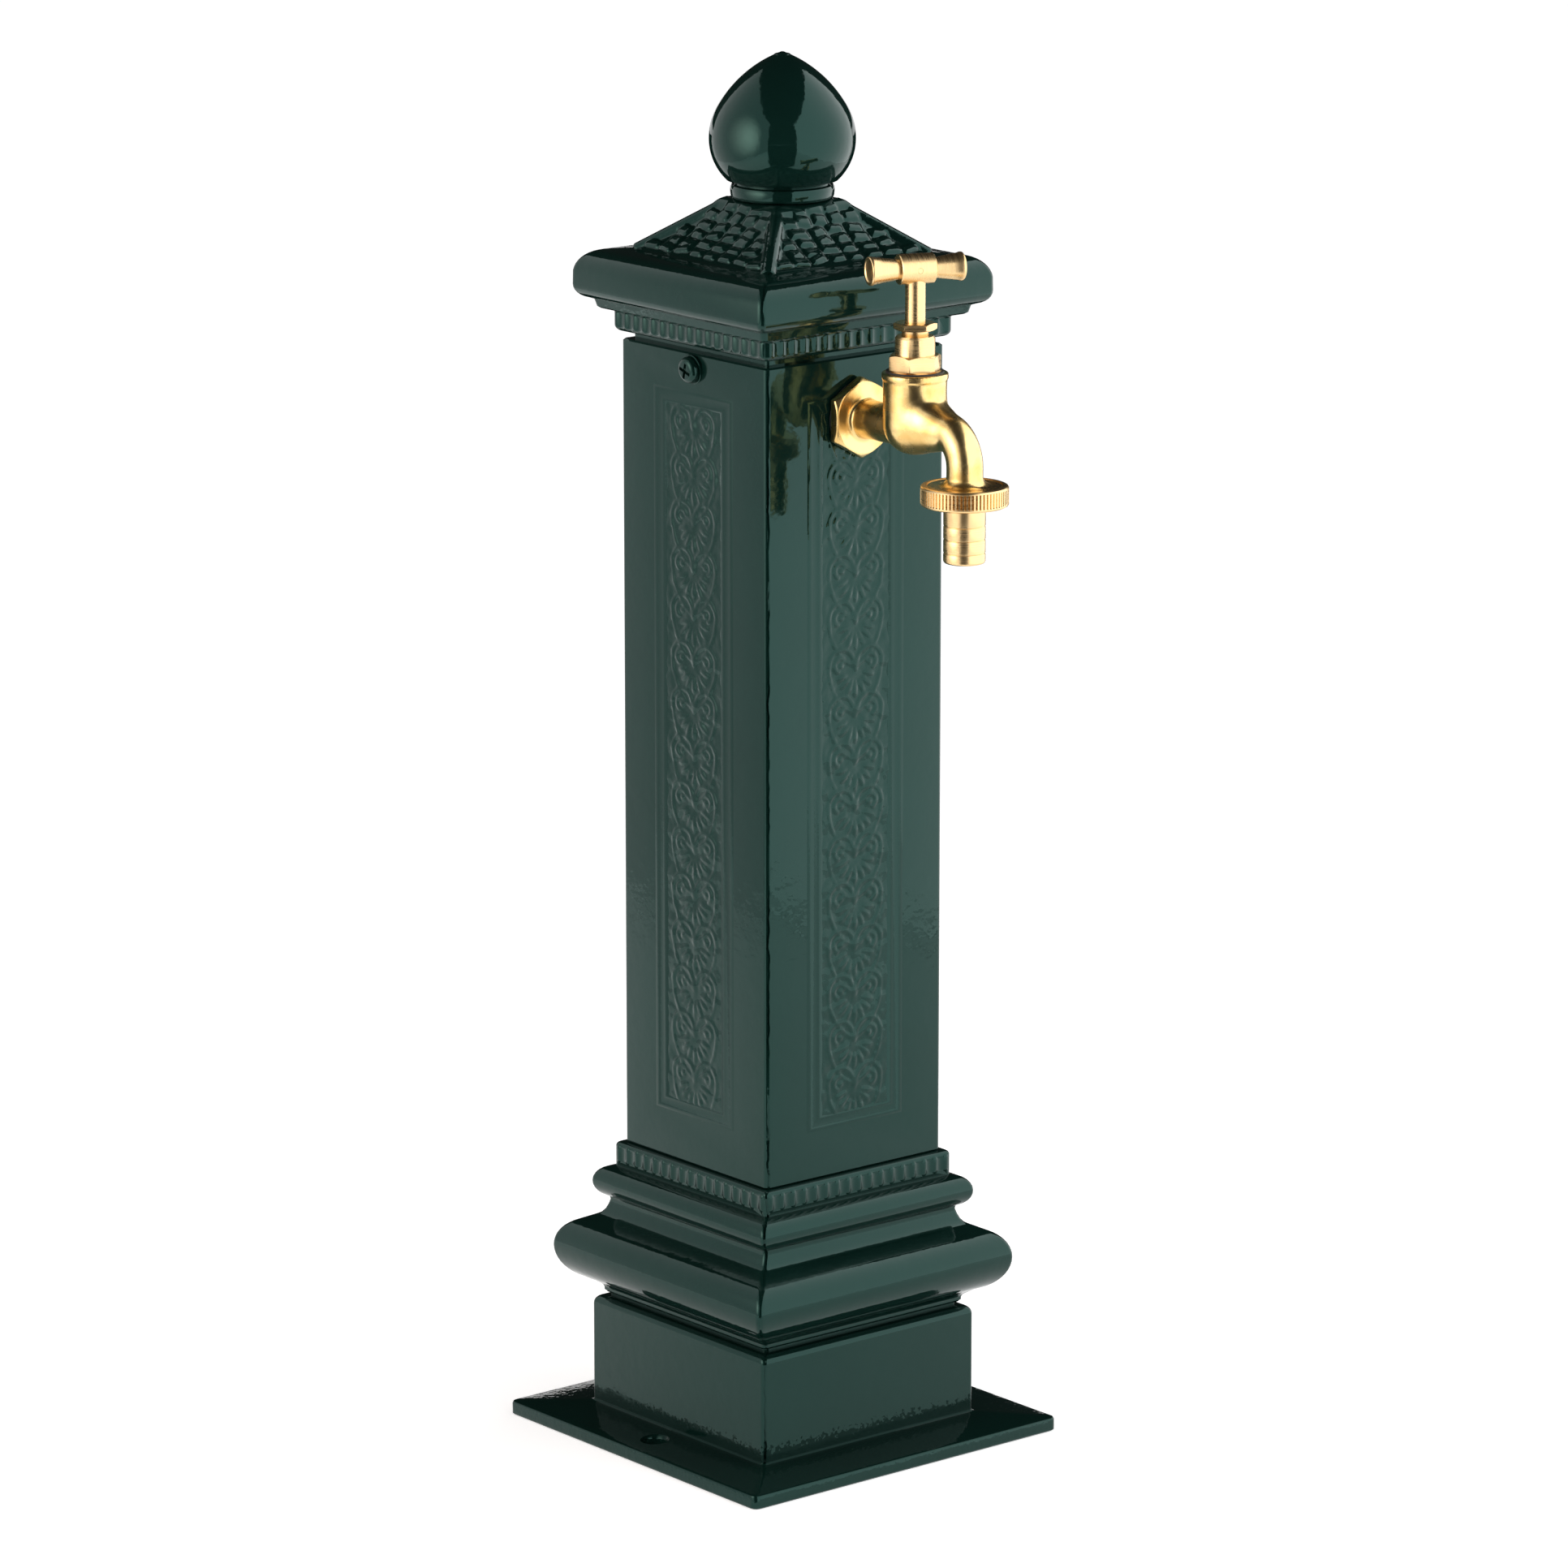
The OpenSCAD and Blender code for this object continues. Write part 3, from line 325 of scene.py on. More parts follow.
def block(low, high, soft=0.0, steps=2):
    """A box between two corners in millimetres, with its edges softened."""
    clear()
    low, high = Vector(low), Vector(high)
    bpy.ops.mesh.primitive_cube_add(size=1, location=(low + high) / 2 * MM)
    piece = made()
    piece.scale = (high - low) * MM
    settle(piece)
    if soft:
        edit(piece)
        bpy.ops.mesh.bevel(offset=soft * MM, segments=steps, affect="EDGES")
        close(piece)
    return piece


def rod(start, end, radius, sides=48):
    """A round bar between two points in millimetres, used as a drill."""
    clear()
    start, end = Vector(start), Vector(end)
    bpy.ops.mesh.primitive_cylinder_add(vertices=sides, radius=radius * MM,
                                        depth=(end - start).length * MM,
                                        location=(start + end) / 2 * MM)
    piece = made()
    piece.rotation_euler = (end - start).to_track_quat("Z", "Y").to_euler()
    return settle(piece)


def finish(piece, name, material, body, slot, *nodes):
    """Names a piece, gives it its material and hangs it on its body in place of the CAD nodes."""
    pick(piece)
    piece.name = name
    piece.data.name = name
    piece.data.materials.clear()
    piece.data.materials.append(material)
    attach(piece, body)
    if nodes:
        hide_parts(*nodes)


# Materials

def add_node(tree, kind, links=None, values=None, **settings):
    """Adds a node with its settings, links and values."""
    node = tree.nodes.new(kind)
    for key, value in settings.items():
        setattr(node, key, value)
    for socket, value in (values or {}).items():
        node.inputs[socket].default_value = value
    for socket, source in (links or {}).items():
        tree.links.new(source, node.inputs[socket])
    return node


def new_material(name, **constants):
    """A material with its shader, and the tree and coordinates that its pattern starts from."""
    material = bpy.data.materials.get(name)
    if material:
        return material, None, None, None
    material = bpy.data.materials.new(name)
    material.use_nodes = True
    tree = material.node_tree
    shader = tree.nodes["Principled BSDF"]
    for socket, value in constants.items():
        shader.inputs[socket.replace("_", " ")].default_value = value
    at = add_node(tree, "ShaderNodeTexCoord").outputs["Object"]
    return material, tree, shader, at


def per_mm(millimetres):
    """Texture scale of a pattern with this real size."""
    return 1 / (millimetres * MM)


def noise(tree, at, millimetres, detail):
    """Value of a noise pattern with this real size."""
    return add_node(tree, "ShaderNodeTexNoise", {"Vector": at},
                    {"Scale": per_mm(millimetres), "Detail": detail}).outputs["Fac"]


def remap(tree, value, start=0.0, end=1.0, low=0.0, high=1.0, **settings):
    """Carries a value from the range start to end over to low to high, and stops at its ends."""
    ends = {"From Min": start, "From Max": end, "To Min": low, "To Max": high}
    return add_node(tree, "ShaderNodeMapRange", {"Value": value}, ends, **settings).outputs["Result"]


def combine(tree, operation, first, second):
    """Value of a sum or product of two values."""
    return add_node(tree, "ShaderNodeMath", {0: first, 1: second}, operation=operation).outputs["Value"]


def bump(tree, height, millimetres, under=None):
    """A bump node for a pattern of this depth, alone or over another one."""
    links = {"Height": height}
    if under is not None:
        links["Normal"] = under.outputs["Normal"]
    return add_node(tree, "ShaderNodeBump", links, {"Distance": millimetres * MM})


def blend(tree, share, first, second):
    """Colour between two linear colours."""
    mix = add_node(tree, "ShaderNodeMix", {0: share}, data_type="RGBA")
    mix.inputs[6].default_value = [*first, 1]
    mix.inputs[7].default_value = [*second, 1]
    return mix.outputs[2]


def wire(tree, shader, **sources):
    """Links sources to the shader's inputs, whose names have underscores here."""
    for socket, source in sources.items():
        tree.links.new(source, shader.inputs[socket.replace("_", " ")])


def gloss_enamel(finish_colours):
    """Gloss enamel brushed over rough cast iron: dark, mirror-like, with ragged reflections from
    the lumps of the casting and the fine peel of the paint, which lies thickest on the foot plate.
    Its reflections are turned down on the top of the plate and the lowest part of the plinth, up to a ragged
    edge, so that these parts read darker."""
    material, tree, shader, at = new_material("Gloss enamel on cast iron", IOR=1.425)
    if not tree:
        return material
    shader.inputs["Specular Tint"].default_value = [*finish_colours.sheen, 1]
    height = add_node(tree, "ShaderNodeSeparateXYZ", {"Vector": at}).outputs["Z"]
    lumps = bump(tree, noise(tree, at, 6, 2), 0.08)
    peel = bump(tree, noise(tree, at, 1.8, 1), 0.08, lumps)
    thick = remap(tree, height, 6 * MM, 7.5 * MM, 0.08 * MM, 0.018 * MM)
    tree.links.new(thick, peel.inputs["Distance"])
    # Reflections turned down on the plate top and the plinth's foot, up to a ragged, dotted edge: these parts
    # read darker
    above = remap(tree, height, 4.6 * MM, 5.0 * MM)
    below = remap(tree, height, 6.5 * MM, 17 * MM, 1.0, 0.0)
    ragged_reach = combine(tree, "ADD", below, noise(tree, at, 1.3, 2))
    dulled_low_zone = combine(tree, "MULTIPLY", above, remap(tree, ragged_reach, 0.97, 1.03))
    wire(tree, shader,
         Base_Color=blend(tree, noise(tree, at, 24, 3), finish_colours.paint_deep, finish_colours.paint),
         Roughness=remap(tree, noise(tree, at, 7, 4), 0.3, 0.7, 0.04, 0.09),
         Specular_IOR_Level=remap(tree, dulled_low_zone, low=0.5, high=0.14),
         Normal=peel.outputs["Normal"])
    return material


def cast_brass(finish_colours):
    """Cast brass, polished by hand: bright, softly wavy, with duller stains where it was handled."""
    material, tree, shader, at = new_material("Polished cast brass", Metallic=1.0)
    if not tree:
        return material
    stains = noise(tree, at, 8, 5)
    share = remap(tree, stains, 0.42, 0.72)
    waves = bump(tree, noise(tree, at, 4, 2), 0.06)
    grit = bump(tree, noise(tree, at, 0.6, 1), 0.004, waves)
    wire(tree, shader,
         Base_Color=blend(tree, share, finish_colours.cast, finish_colours.cast_deep),
         Roughness=remap(tree, stains, 0.3, 0.75, 0.2, 0.32),
         Normal=grit.outputs["Normal"])
    return material


def turned_metal(name, tint, axis=2, spin=0.0, roughness=(0.24, 0.34), groove=0.004):
    """Metal turned on a lathe: fine rings round the axis, which spread the highlights along it. The
    rings are drawn about twice as coarse as the tool's feed, so that they show."""
    material, tree, shader, at = new_material(name, Metallic=1.0)
    if not tree:
        return material
    scale = [per_mm(60)] * 3
    scale[axis] = per_mm(0.55)
    turn = add_node(tree, "ShaderNodeMapping", {"Vector": at}, {"Rotation": (0, 0, spin)})
    stretch = add_node(tree, "ShaderNodeMapping", {"Vector": turn.outputs["Vector"]}, {"Scale": scale})
    rings = add_node(tree, "ShaderNodeTexNoise", {"Vector": stretch.outputs["Vector"]},
                     {"Scale": 1.0, "Detail": 2}).outputs["Fac"]
    wire(tree, shader,
         Base_Color=blend(tree, noise(tree, at, 5, 3), tint, [0.88 * c for c in tint]),
         Roughness=remap(tree, rings, 0.3, 0.7, *roughness),
         Normal=bump(tree, rings, groove).outputs["Normal"])
    return material


def moulded_rubber(finish_colours):
    """Black moulded rubber: dull, with a faint grain from the mould."""
    material, tree, shader, at = new_material("Moulded rubber", Roughness=0.62)
    if not tree:
        return material
    grain = noise(tree, at, 0.8, 3)
    wire(tree, shader,
         Base_Color=blend(tree, grain, finish_colours.rubber, [1.6 * c for c in finish_colours.rubber]),
         Normal=bump(tree, grain, 0.02).outputs["Normal"])
    return material


def pale_board():
    """White painted board under the object: matt, and lit from within so that it stays white up to
    the object's shadow. Further out, where the lamps give it less light, it glows more."""
    material, tree, shader, at = new_material("White painted board", Roughness=0.9,
                                              Specular_IOR_Level=0.0, Emission_Color=(1, 1, 1, 1))
    if not tree:
        return material
    away = add_node(tree, "ShaderNodeVectorMath", {0: at}, operation="LENGTH").outputs["Value"]
    wire(tree, shader,
         Base_Color=remap(tree, noise(tree, at, 40, 2), low=0.79, high=0.81),
         Emission_Strength=remap(tree, away, 0.2, 1.6, 0.52, 1.0))
    return material


def lamp_glow(middle, radius, peak=4.6, tint=(1, 0.82, 0.74, 1)):
    """Light from the lamp inside a softbox: fades from the middle to nothing, and covers nothing."""
    material = bpy.data.materials.new("Lamp glow")
    material.use_nodes = True
    tree = material.node_tree
    tree.nodes.clear()
    at = add_node(tree, "ShaderNodeTexCoord").outputs["Object"]
    away = add_node(tree, "ShaderNodeVectorMath", {0: at}, {1: middle}, operation="DISTANCE").outputs["Value"]
    fade = remap(tree, away, 0.0, radius, peak, 0.0, interpolation_type="SMOOTHSTEP")
    light = add_node(tree, "ShaderNodeEmission", {"Strength": fade}, {"Color": tint}).outputs["Emission"]
    clear_film = add_node(tree, "ShaderNodeBsdfTransparent").outputs["BSDF"]
    both = add_node(tree, "ShaderNodeAddShader", {0: light, 1: clear_film}).outputs["Shader"]
    add_node(tree, "ShaderNodeOutputMaterial", {"Surface": both})
    return material


def black_cloth():
    """Black cloth on a flag: takes light away from the reflections and gives none back."""
    material, tree, shader, at = new_material("Black flag cloth", Roughness=1.0, Specular_IOR_Level=0.0)
    if not tree:
        return material
    wire(tree, shader, Base_Color=remap(tree, noise(tree, at, 3, 1), low=0.002, high=0.006))
    return material


# Shared forms of the column

def resample(profile, step):
    """The same profile with points at most a step apart."""
    points = [Vector(profile[0])]
    for spot in profile[1:]:
        reach = Vector(spot) - points[-1]
        count = max(1, math.ceil(reach.length / step))
        start = points[-1]
        points += [start + reach * (i + 1) / count for i in range(count)]
    return points


def corner_seam(profile, corner, width, sink=1.0, aside=0.5, outside=4.0):
    """A wavy blade along the front corner, which cuts the half-closed seam between two cast sides."""
    clear()
    diagonal = Vector((-1, -1, 0)).normalized()
    across = Vector((1, -1, 0)).normalized()
    reach = math.sqrt(2) - corner * (math.sqrt(2) - 1)
    points = []
    for half, height in resample(profile, 1.5):
        open_here = 0.5 + 0.5 * math.sin(height / 8.3) * math.sin(height / 21 + 1)
        out = diagonal * (half * reach - sink * open_here)
        points.append(out + across * aside + Vector((0, 0, height)))
    bpy.ops.mesh.primitive_plane_add(size=1)
    blade = made()
    edit(blade)
    bpy.ops.mesh.merge(type="CENTER")
    bpy.ops.mesh.select_all(action="SELECT")
    bpy.ops.transform.translate(value=points[0] * MM)
    bpy.ops.mesh.extrude_region_move(TRANSFORM_OT_translate={"value": diagonal * outside * MM})
    bpy.ops.mesh.select_all(action="SELECT")
    for before, after in zip(points, points[1:]):
        bpy.ops.mesh.extrude_region_move(TRANSFORM_OT_translate={"value": (after - before) * MM})
    place(blade, move=Vector(blade.location) / MM)
    wander = bpy.data.textures.new("Seam wander", "CLOUDS")
    wander.noise_scale = 5 * MM
    apply(blade, "DISPLACE", texture=wander, strength=1.4 * MM, mid_level=0.5, texture_coords="LOCAL")
    apply(blade, "SOLIDIFY", thickness=width * MM, offset=0)
    edit(blade)
    return close(blade)


# The painted column

def painted(piece, name, *nodes):
    """Finishes a piece of the column in its enamel."""
    enamel = gloss_enamel(bpy.context.scene.standpipe_finish)
    finish(piece, name, enamel, COLUMN, "green_paint", *nodes)


def tongue_row(half, low, high, count, pitch_share, proud, root=3.2):
    """One side's row of round-ended tongues on a band."""
    pitch = 2 * half / count
    wide = pitch * pitch_share
    start = -half + pitch / 2
    tongue = block((start - wide / 2, -half - proud, low), (start + wide / 2, -half + root, high),
                   soft=wide * 0.46, steps=4)
    return repeat(tongue, count, (pitch * MM, 0, 0))


class STANDPIPE_OT_pedestal(bpy.types.Operator):
    """Model the pedestal with its mouldings and tongue band"""
    bl_idname = "standpipe.pedestal"
    bl_label = "Pedestal"

    def execute(self, context):
        sizes = context.scene.standpipe_column
        plinth, roll, bead, band = (v / MM for v in (sizes.plinth, sizes.roll, sizes.bead, sizes.band))
        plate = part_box("base")[1].x / MM
        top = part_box("base")[1].z / MM
        foot = [(plate - 0.5, 0), (plate, 0.5), (plate, 4.3), (plate - 0.3, 4.9), (plate - 1.2, 5.3)]
        foot += [(plinth + 2, 6.1)]
        foot += arc((plinth + 1.0, 7.3), 1.0, 260, 180, 4)
        wall = arc((plinth - 3.0, 43.0), 3.0, 0, 80, 6)
        wall += [(44.2, 46.1), (44.2, 47.2), (45.2, 47.4)]
        wall += arc((plinth - 0.6, 48.6), 2.2, 190, 130, 4)
        wall += arc((roll - 12.6, 64.5), 12.6, -74, 0, 10)
        wall += arc((roll - 10.1, 64.5), 10.1, 8, 66, 8)
        wall += [(47.6, 76.3), (46.6, 76.9), (45.5, 78.3), (44.7, 80.2), (44.2, 82.0), (44.5, 83.2)]
        wall += arc((bead - 5.6, 88.7), 5.6, -68, 72, 10)
        wall += [(band, 94.6)]
        wall += arc((band - 1.4, top - 1.4), 1.4, 0, 90, 4)
        inside = [(WAY_HALF, top), (WAY_HALF, top - 6), (38, top - 6.5), (38, 48)]
        inside += [(plinth - 5, 41), (plinth - 5, 0)]
        piece = sweep("pedestal", foot + wall + inside, corner=PEDESTAL_CORNER)
        row = tongue_row(band, 95.4, 103.1, sizes.tongues, pitch_share=0.76, proud=0.42)
        carve(piece, join(round_column(row)), "UNION")
        hole = [(4.5, -2), (4.4, 4.6), (4.9, 5.5), (6.2, 6.6), (8, 8)]
        for x in (-HOLE_X, HOLE_X):
            drill = sweep("drill", hole, sides=40, hollow=False)
            carve(piece, place(drill, move=(x, 0, 0)))
        carve(piece, corner_seam(foot[-2:] + wall, PEDESTAL_CORNER, sizes.seam / MM))
        smooth(piece)
        painted(piece, "pedestal", "base")
        return {"FINISHED"}


class STANDPIPE_OT_shaft(bpy.types.Operator):
    """Model the shaft with its sunk, bordered panels"""
    bl_idname = "standpipe.shaft"
    bl_label = "Shaft"

    def execute(self, context):
        low, high = (z / MM for z in (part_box("shaft")[0].z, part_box("shaft")[1].z))
        half = SHAFT_HALF
        profile = [(half - 0.6, low), (half, low + 0.6), (half, high - 0.6), (half - 0.6, high)]
        profile += [(SHAFT_INNER, high), (SHAFT_INNER, low + 6), (WAY_HALF, low + 6), (WAY_HALF, low)]
        piece = sweep("shaft", profile, corner=SHAFT_CORNER)
        recess = block((-PANEL_HALF, -half - 1, PANEL_LOW), (PANEL_HALF, -half + 2.2, PANEL_HIGH))
        carve(piece, join(round_column(recess)))
        carve(piece, rod((0, -50, INLET_Z), (0, -30, INLET_Z), 10.9))
        carve(piece, rod((-50, 0, SCREW_Z), (50, 0, SCREW_Z), 2.8))
        seam = context.scene.standpipe_column.seam / MM
        carve(piece, corner_seam([(half, low - 1), (half, high + 1)], SHAFT_CORNER, seam))
        smooth(piece)
        painted(piece, "shaft_wall", "shaft")

        clear()
        bpy.ops.mesh.primitive_plane_add(size=1, rotation=(math.radians(90), 0, 0))
        border = made()
        border.scale = (2 * PANEL_HALF * MM, PANEL_TALL * MM, 1)
        settle(border)
        place(border, move=(0, -half, PANEL_MIDDLE))
        edit(border)
        # Half width, half height and lift of each ring, from the wall to the field
        rings = [(21.3, 129.8, 0.12), (20.8, 129.5, 0.2), (20.3, 129.2, 0.2), (19.8, 128.9, 0.12),
                 (19.2, 128.5, 0.04), (17.8, 126.6, 0.04), (17.2, 126.2, 0.12), (16.7, 125.95, 0.2),
                 (16.2, 125.7, 0.18), (15.6, 125.45, 0.05), (15.0, 125.15, -0.08), (14.4, 124.9, -0.3)]
        wide, tall, lift = PANEL_HALF, PANEL_TALL / 2, 0.0
        middle = (0, -half * MM, PANEL_MIDDLE * MM)
        for new_wide, new_tall, new_lift in rings:
            bpy.ops.mesh.inset(thickness=0.01 * MM)
            bpy.ops.transform.translate(value=(0, (lift - new_lift) * MM, 0))
            bpy.ops.transform.resize(value=(new_wide / wide, 1, new_tall / tall), center_override=middle)
            wide, tall, lift = new_wide, new_tall, new_lift
        bpy.ops.mesh.delete(type="FACE")
        frames = join(round_column(border))
        smooth(frames, 50)
        painted(frames, "panel_borders")
        return {"FINISHED"}


def torus(centre, major, minor, *cuts):
    """A ring lying against a panel, in millimetres. Each cut keeps the part that lies on the side of
    its (x, z) direction, at a distance from the ring's centre."""
    clear()
    bpy.ops.mesh.primitive_torus_add(major_radius=major * MM, minor_radius=minor * MM,
                                     major_segments=72, minor_segments=8,
                                     rotation=(math.radians(90), 0, 0))
    piece = settle(made())
    for x, z, away in cuts:
        edit(piece)
        bpy.ops.mesh.bisect(plane_co=(x * away * MM, 0, z * away * MM), plane_no=(x, 0, z),
                            clear_inner=True, use_fill=True)
        close(piece)
    return place(piece, move=(centre[0], 0, centre[1]))


def petal(centre, angle, long, wide, deep):
    """An oval lobe lying against a panel, turned by degrees from straight down."""
    clear()
    bpy.ops.mesh.primitive_uv_sphere_add(segments=16, ring_count=10, radius=1)
    piece = made()
    piece.scale = (wide / 2 * MM, deep * MM, long / 2 * MM)
    settle(piece)
    place(piece, move=(0, 0, -long / 2))
    return place(piece, move=(centre[0], 0, centre[1]), turn=(0, angle, 0))


class STANDPIPE_OT_palmettes(bpy.types.Operator):
    """Model the stacked palmettes of the four panels"""
    bl_idname = "standpipe.palmettes"
    bl_label = "Panel palmettes"

    def execute(self, context):
        sizes = context.scene.standpipe_column
        low, high = 125.6, 376.5
        pitch = (high - low) / sizes.units
        relief, drawn = sizes.relief / MM, 0.75
        forms = [petal((0, 4.4), 0, 5.0, 2.7, 1.0)]
        for side in (-1, 1):
            forms.append(torus((side * 6.4, 2.2), 5.6, drawn, (0, 1, 0)))
            forms.append(torus((-side * 7.35, 2.2), 19.35, 0.65, (0, -1, 0), (side, 0, 8.4)))
            forms.append(torus((side * 6.9, 2.3), 2.5, drawn, (side * 0.7, 0.7, -1.2)))
            forms.append(petal((side * 6.4, 3.2), 0, 2.2, 2.2, 0.9))
        for angle in (-75, -50, -25, 0, 25, 50, 75):
            lean = math.radians(angle)
            start = (-3.4 * math.sin(lean), -0.4 - 3.4 * math.cos(lean))
            forms.append(petal(start, angle, 6.4 - abs(angle) * 0.012, 1.9, 0.85))
        unit = join(forms)
        pick(unit)
        unit.scale = (1, relief / drawn, 1)
        settle(unit)
        place(unit, move=(0, FIELD_Y, low + pitch / 2))
        repeat(unit, sizes.units, (0, 0, pitch * MM))
        plate = block((-16.2, FIELD_Y, low - 0.6), (16.2, FIELD_Y + 1.5, high + 0.6))
        panel = join([plate, unit])
        apply(panel, "REMESH", mode="VOXEL", voxel_size=0.42 * MM)
        uneven = bpy.data.textures.new("Uneven casting", "CLOUDS")
        uneven.noise_scale = 5 * MM
        apply(panel, "DISPLACE", texture=uneven, texture_coords="LOCAL", direction="Y", mid_level=0.5,
              strength=0.75 * MM)
        apply(panel, "SMOOTH", factor=0.5, iterations=7)
        edit(panel)
        bpy.ops.mesh.bisect(plane_co=(0, (FIELD_Y + 0.7) * MM, 0), plane_no=(0, 1, 0), clear_outer=True)
        bpy.ops.mesh.select_all(action="DESELECT")
        bpy.ops.mesh.select_mode(type="EDGE")
        bpy.ops.mesh.select_non_manifold()
        bpy.ops.mesh.edge_face_add()
        close(panel)
        for piece, side in zip(round_column(panel), ("front", "right", "back", "left")):
            smooth(piece, 180)
            painted(piece, "palmettes_" + side)
        return {"FINISHED"}


def cobble(wide, tall, turn, slope, spot):
    """One flat, round-edged scale lying on the roof's front side."""
    piece = block((-wide / 2, -tall / 2, -1.2), (wide / 2, tall / 2, 0.95), soft=1.1, steps=3)
    place(piece, turn=(0, 0, turn))
    return place(piece, turn=(slope, 0, 0), move=spot)


def roof_spot(share):
    """Half width, height and slope in degrees on the hollow roof, from eaves to peak."""
    (out, low), (inn, high) = (37, 427.4), (14.4, 445.3)
    sag, sway = 1.2 * math.sin(math.pi * share), 1.2 * math.pi * math.cos(math.pi * share)
    half = out + (inn - out) * share - 0.61 * sag
    height = low + (high - low) * share - 0.79 * sag
    return half, height, math.degrees(math.atan2(high - low - 0.79 * sway, out - inn + 0.61 * sway))


class STANDPIPE_OT_cap(bpy.types.Operator):
    """Model the cap with its band, roll and scaled roof"""
    bl_idname = "standpipe.cap"
    bl_label = "Cap"

    def execute(self, context):
        sizes = context.scene.standpipe_column
        band, roll = sizes.cap_band / MM, sizes.cap_roll / MM
        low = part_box("shaft")[1].z / MM
        roof = [roof_spot(i / 10)[:2] for i in range(11)]
        neck = [(35.8, low), (37.0, low), (37.0, low + 2.6), (39.6, low + 2.7)]
        wall = arc((band - 2.2, low + 4.8), 2.2, -70, 0, 5)
        wall += [(band, 404.4), (band + 0.5, 405.1), (45.6, 405.6), (46.5, 406.2), (47.2, 408.8)]
        wall += arc((roll - 4.6, 413.9), 4.6, -80, 0, 6)
        wall += arc((roll - 8.6, 417.6), 8.6, 8, 84, 9)
        wall += [(40, 426.6), (37.6, 427.0)]
        inside = [(4.4, COLLAR_Z), (4.4, 440), (10.5, 440), (35.8, 422.5)]
        piece = sweep("cap", neck + wall + roof + inside, corner=SHAFT_CORNER)
        row = tongue_row(band, low + 3.3, 405.4, sizes.tongues, pitch_share=0.72, proud=0.42)
        carve(piece, join(round_column(row)), "UNION")
        carve(piece, corner_seam(wall + roof[:1], SHAFT_CORNER, sizes.seam / MM, sink=0.8))
        smooth(piece)

        dice = random.Random(11)
        cobbles = []
        for i in range(sizes.rows):
            row = (i + 0.6) / (sizes.rows + 0.35)
            room = 2 * (roof_spot(row)[0] - 2.6)
            count = max(2, round(room / 7.6))
            step = room / count
            for j in range(count + i % 2):
                across = -room / 2 + step * (j + 0.5 - 0.5 * (i % 2)) + dice.uniform(-0.4, 0.4)
                if abs(across) > room / 2 - 0.3 * step:
                    continue
                half, height, slope = roof_spot(row + dice.uniform(-0.02, 0.02))
                wide = step * dice.uniform(0.72, 0.98)
                tall = dice.uniform(3.4, 4.6)
                turn = dice.uniform(-15, 15)
                lean = slope + dice.uniform(-4, 4)
                cobbles.append(cobble(wide, tall, turn, lean, (across, -half, height)))
        hip = rod((-36, -36, 425.6), (-12.6, -12.6, 443.2), 2.9, sides=20)
        shell = [(roof[0][0] - 0.6, roof[0][1] + 0.1)] + roof[1:9]
        shell += [(17.0, 443.6), (15.8, 444.7), (14.2, COLLAR_Z), (10, 442), (33, 425.5)]
        relief = [sweep("shell", shell, corner=SHAFT_CORNER)]
        relief += round_column(join(cobbles)) + round_column(hip)
        scales = join(relief)
        apply(scales, "REMESH", mode="VOXEL", voxel_size=0.45 * MM)
        apply(scales, "SMOOTH", factor=0.5, iterations=4)
        smooth(scales, 180)
        painted(scales, "roof_scales")
        painted(piece, "cap_casting", "cap")
        return {"FINISHED"}


class STANDPIPE_OT_finial(bpy.types.Operator):
    """Turn the collar and pointed ball of the finial"""
    bl_idname = "standpipe.finial"
    bl_label = "Finial"

    def execute(self, context):
        base, middle, tip = COLLAR_Z, 466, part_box("finial")[1].z / MM
        profile = [(4, 434.5), (4, base), (16.8, base)]
        profile += arc((16.9, base + 1.1), 1.1, -80, 0, 3)
        profile += [(18.15, base + 2.6), (18.1, base + 3.7), (17.7, base + 4.5), (16.6, base + 4.9)]
        profile += [(16.4, base + 5.4)]
        profile += arc((25.5 - 19.7, middle), 19.7, -46, 0, 14)
        profile += arc((25.5 - 22.5, middle), 22.5, 3, 30, 9)
        profile += arc((-15.62, middle - 10.75), 44, 31, 68.5, 24)
        piece = sweep("finial", profile, sides=128, hollow=False)
        ring = [(1.9, tip - 1.15), (2.3, tip - 0.98), (2.7, tip - 1.1), (3.1, tip - 1.7), (2.5, tip - 2.1)]
        join([piece, sweep("ring", ring, sides=48)])
        smooth(piece, 40)
        painted(piece, "finial_ball", "finial")
        return {"FINISHED"}


class STANDPIPE_OT_cap_screws(bpy.types.Operator):
    """Model the painted pan screws and washers that hold the cap"""
    bl_idname = "standpipe.cap_screws"
    bl_label = "Cap screws"

    def execute(self, context):
        profile = [(2.5, -9), (2.5, 0.8), (4.4, 0.8), (4.75, 1.2), (4.7, 2.0)]
        profile += arc((2.6, 1.7), 2.1, 12, 88, 6)
        profile += [(1.2, 3.82), (0.2, 3.84)]
        screw = sweep("screw", profile, sides=48, hollow=False)
        for turn in (0, 90):
            carve(screw, place(block((-2.85, -0.6, 2.3), (2.85, 0.6, 6), soft=0.1), turn=(0, 0, turn)))
        profile = [(2.8, 0), (5.25, 0), (5.25, 0.6), (5.05, 0.8), (2.8, 0.8)]
        washer = sweep("washer", profile, sides=48)
        for part, name, node in ((screw, "cap_screw_heads", "cap_screws"),
                                 (washer, "cap_washers", "cap_screw_washers")):
            # Lies down along the screw's axis, with the cross recess off the upright
            place(part, turn=(0, -90, 20))
            place(part, turn=(20, 0, -20))
            place(part, move=(-SHAFT_HALF, 0, SCREW_Z))
            pair = join(round_column(part, 2))
            smooth(pair)
            painted(pair, name, node)
        return {"FINISHED"}


# The brass tap

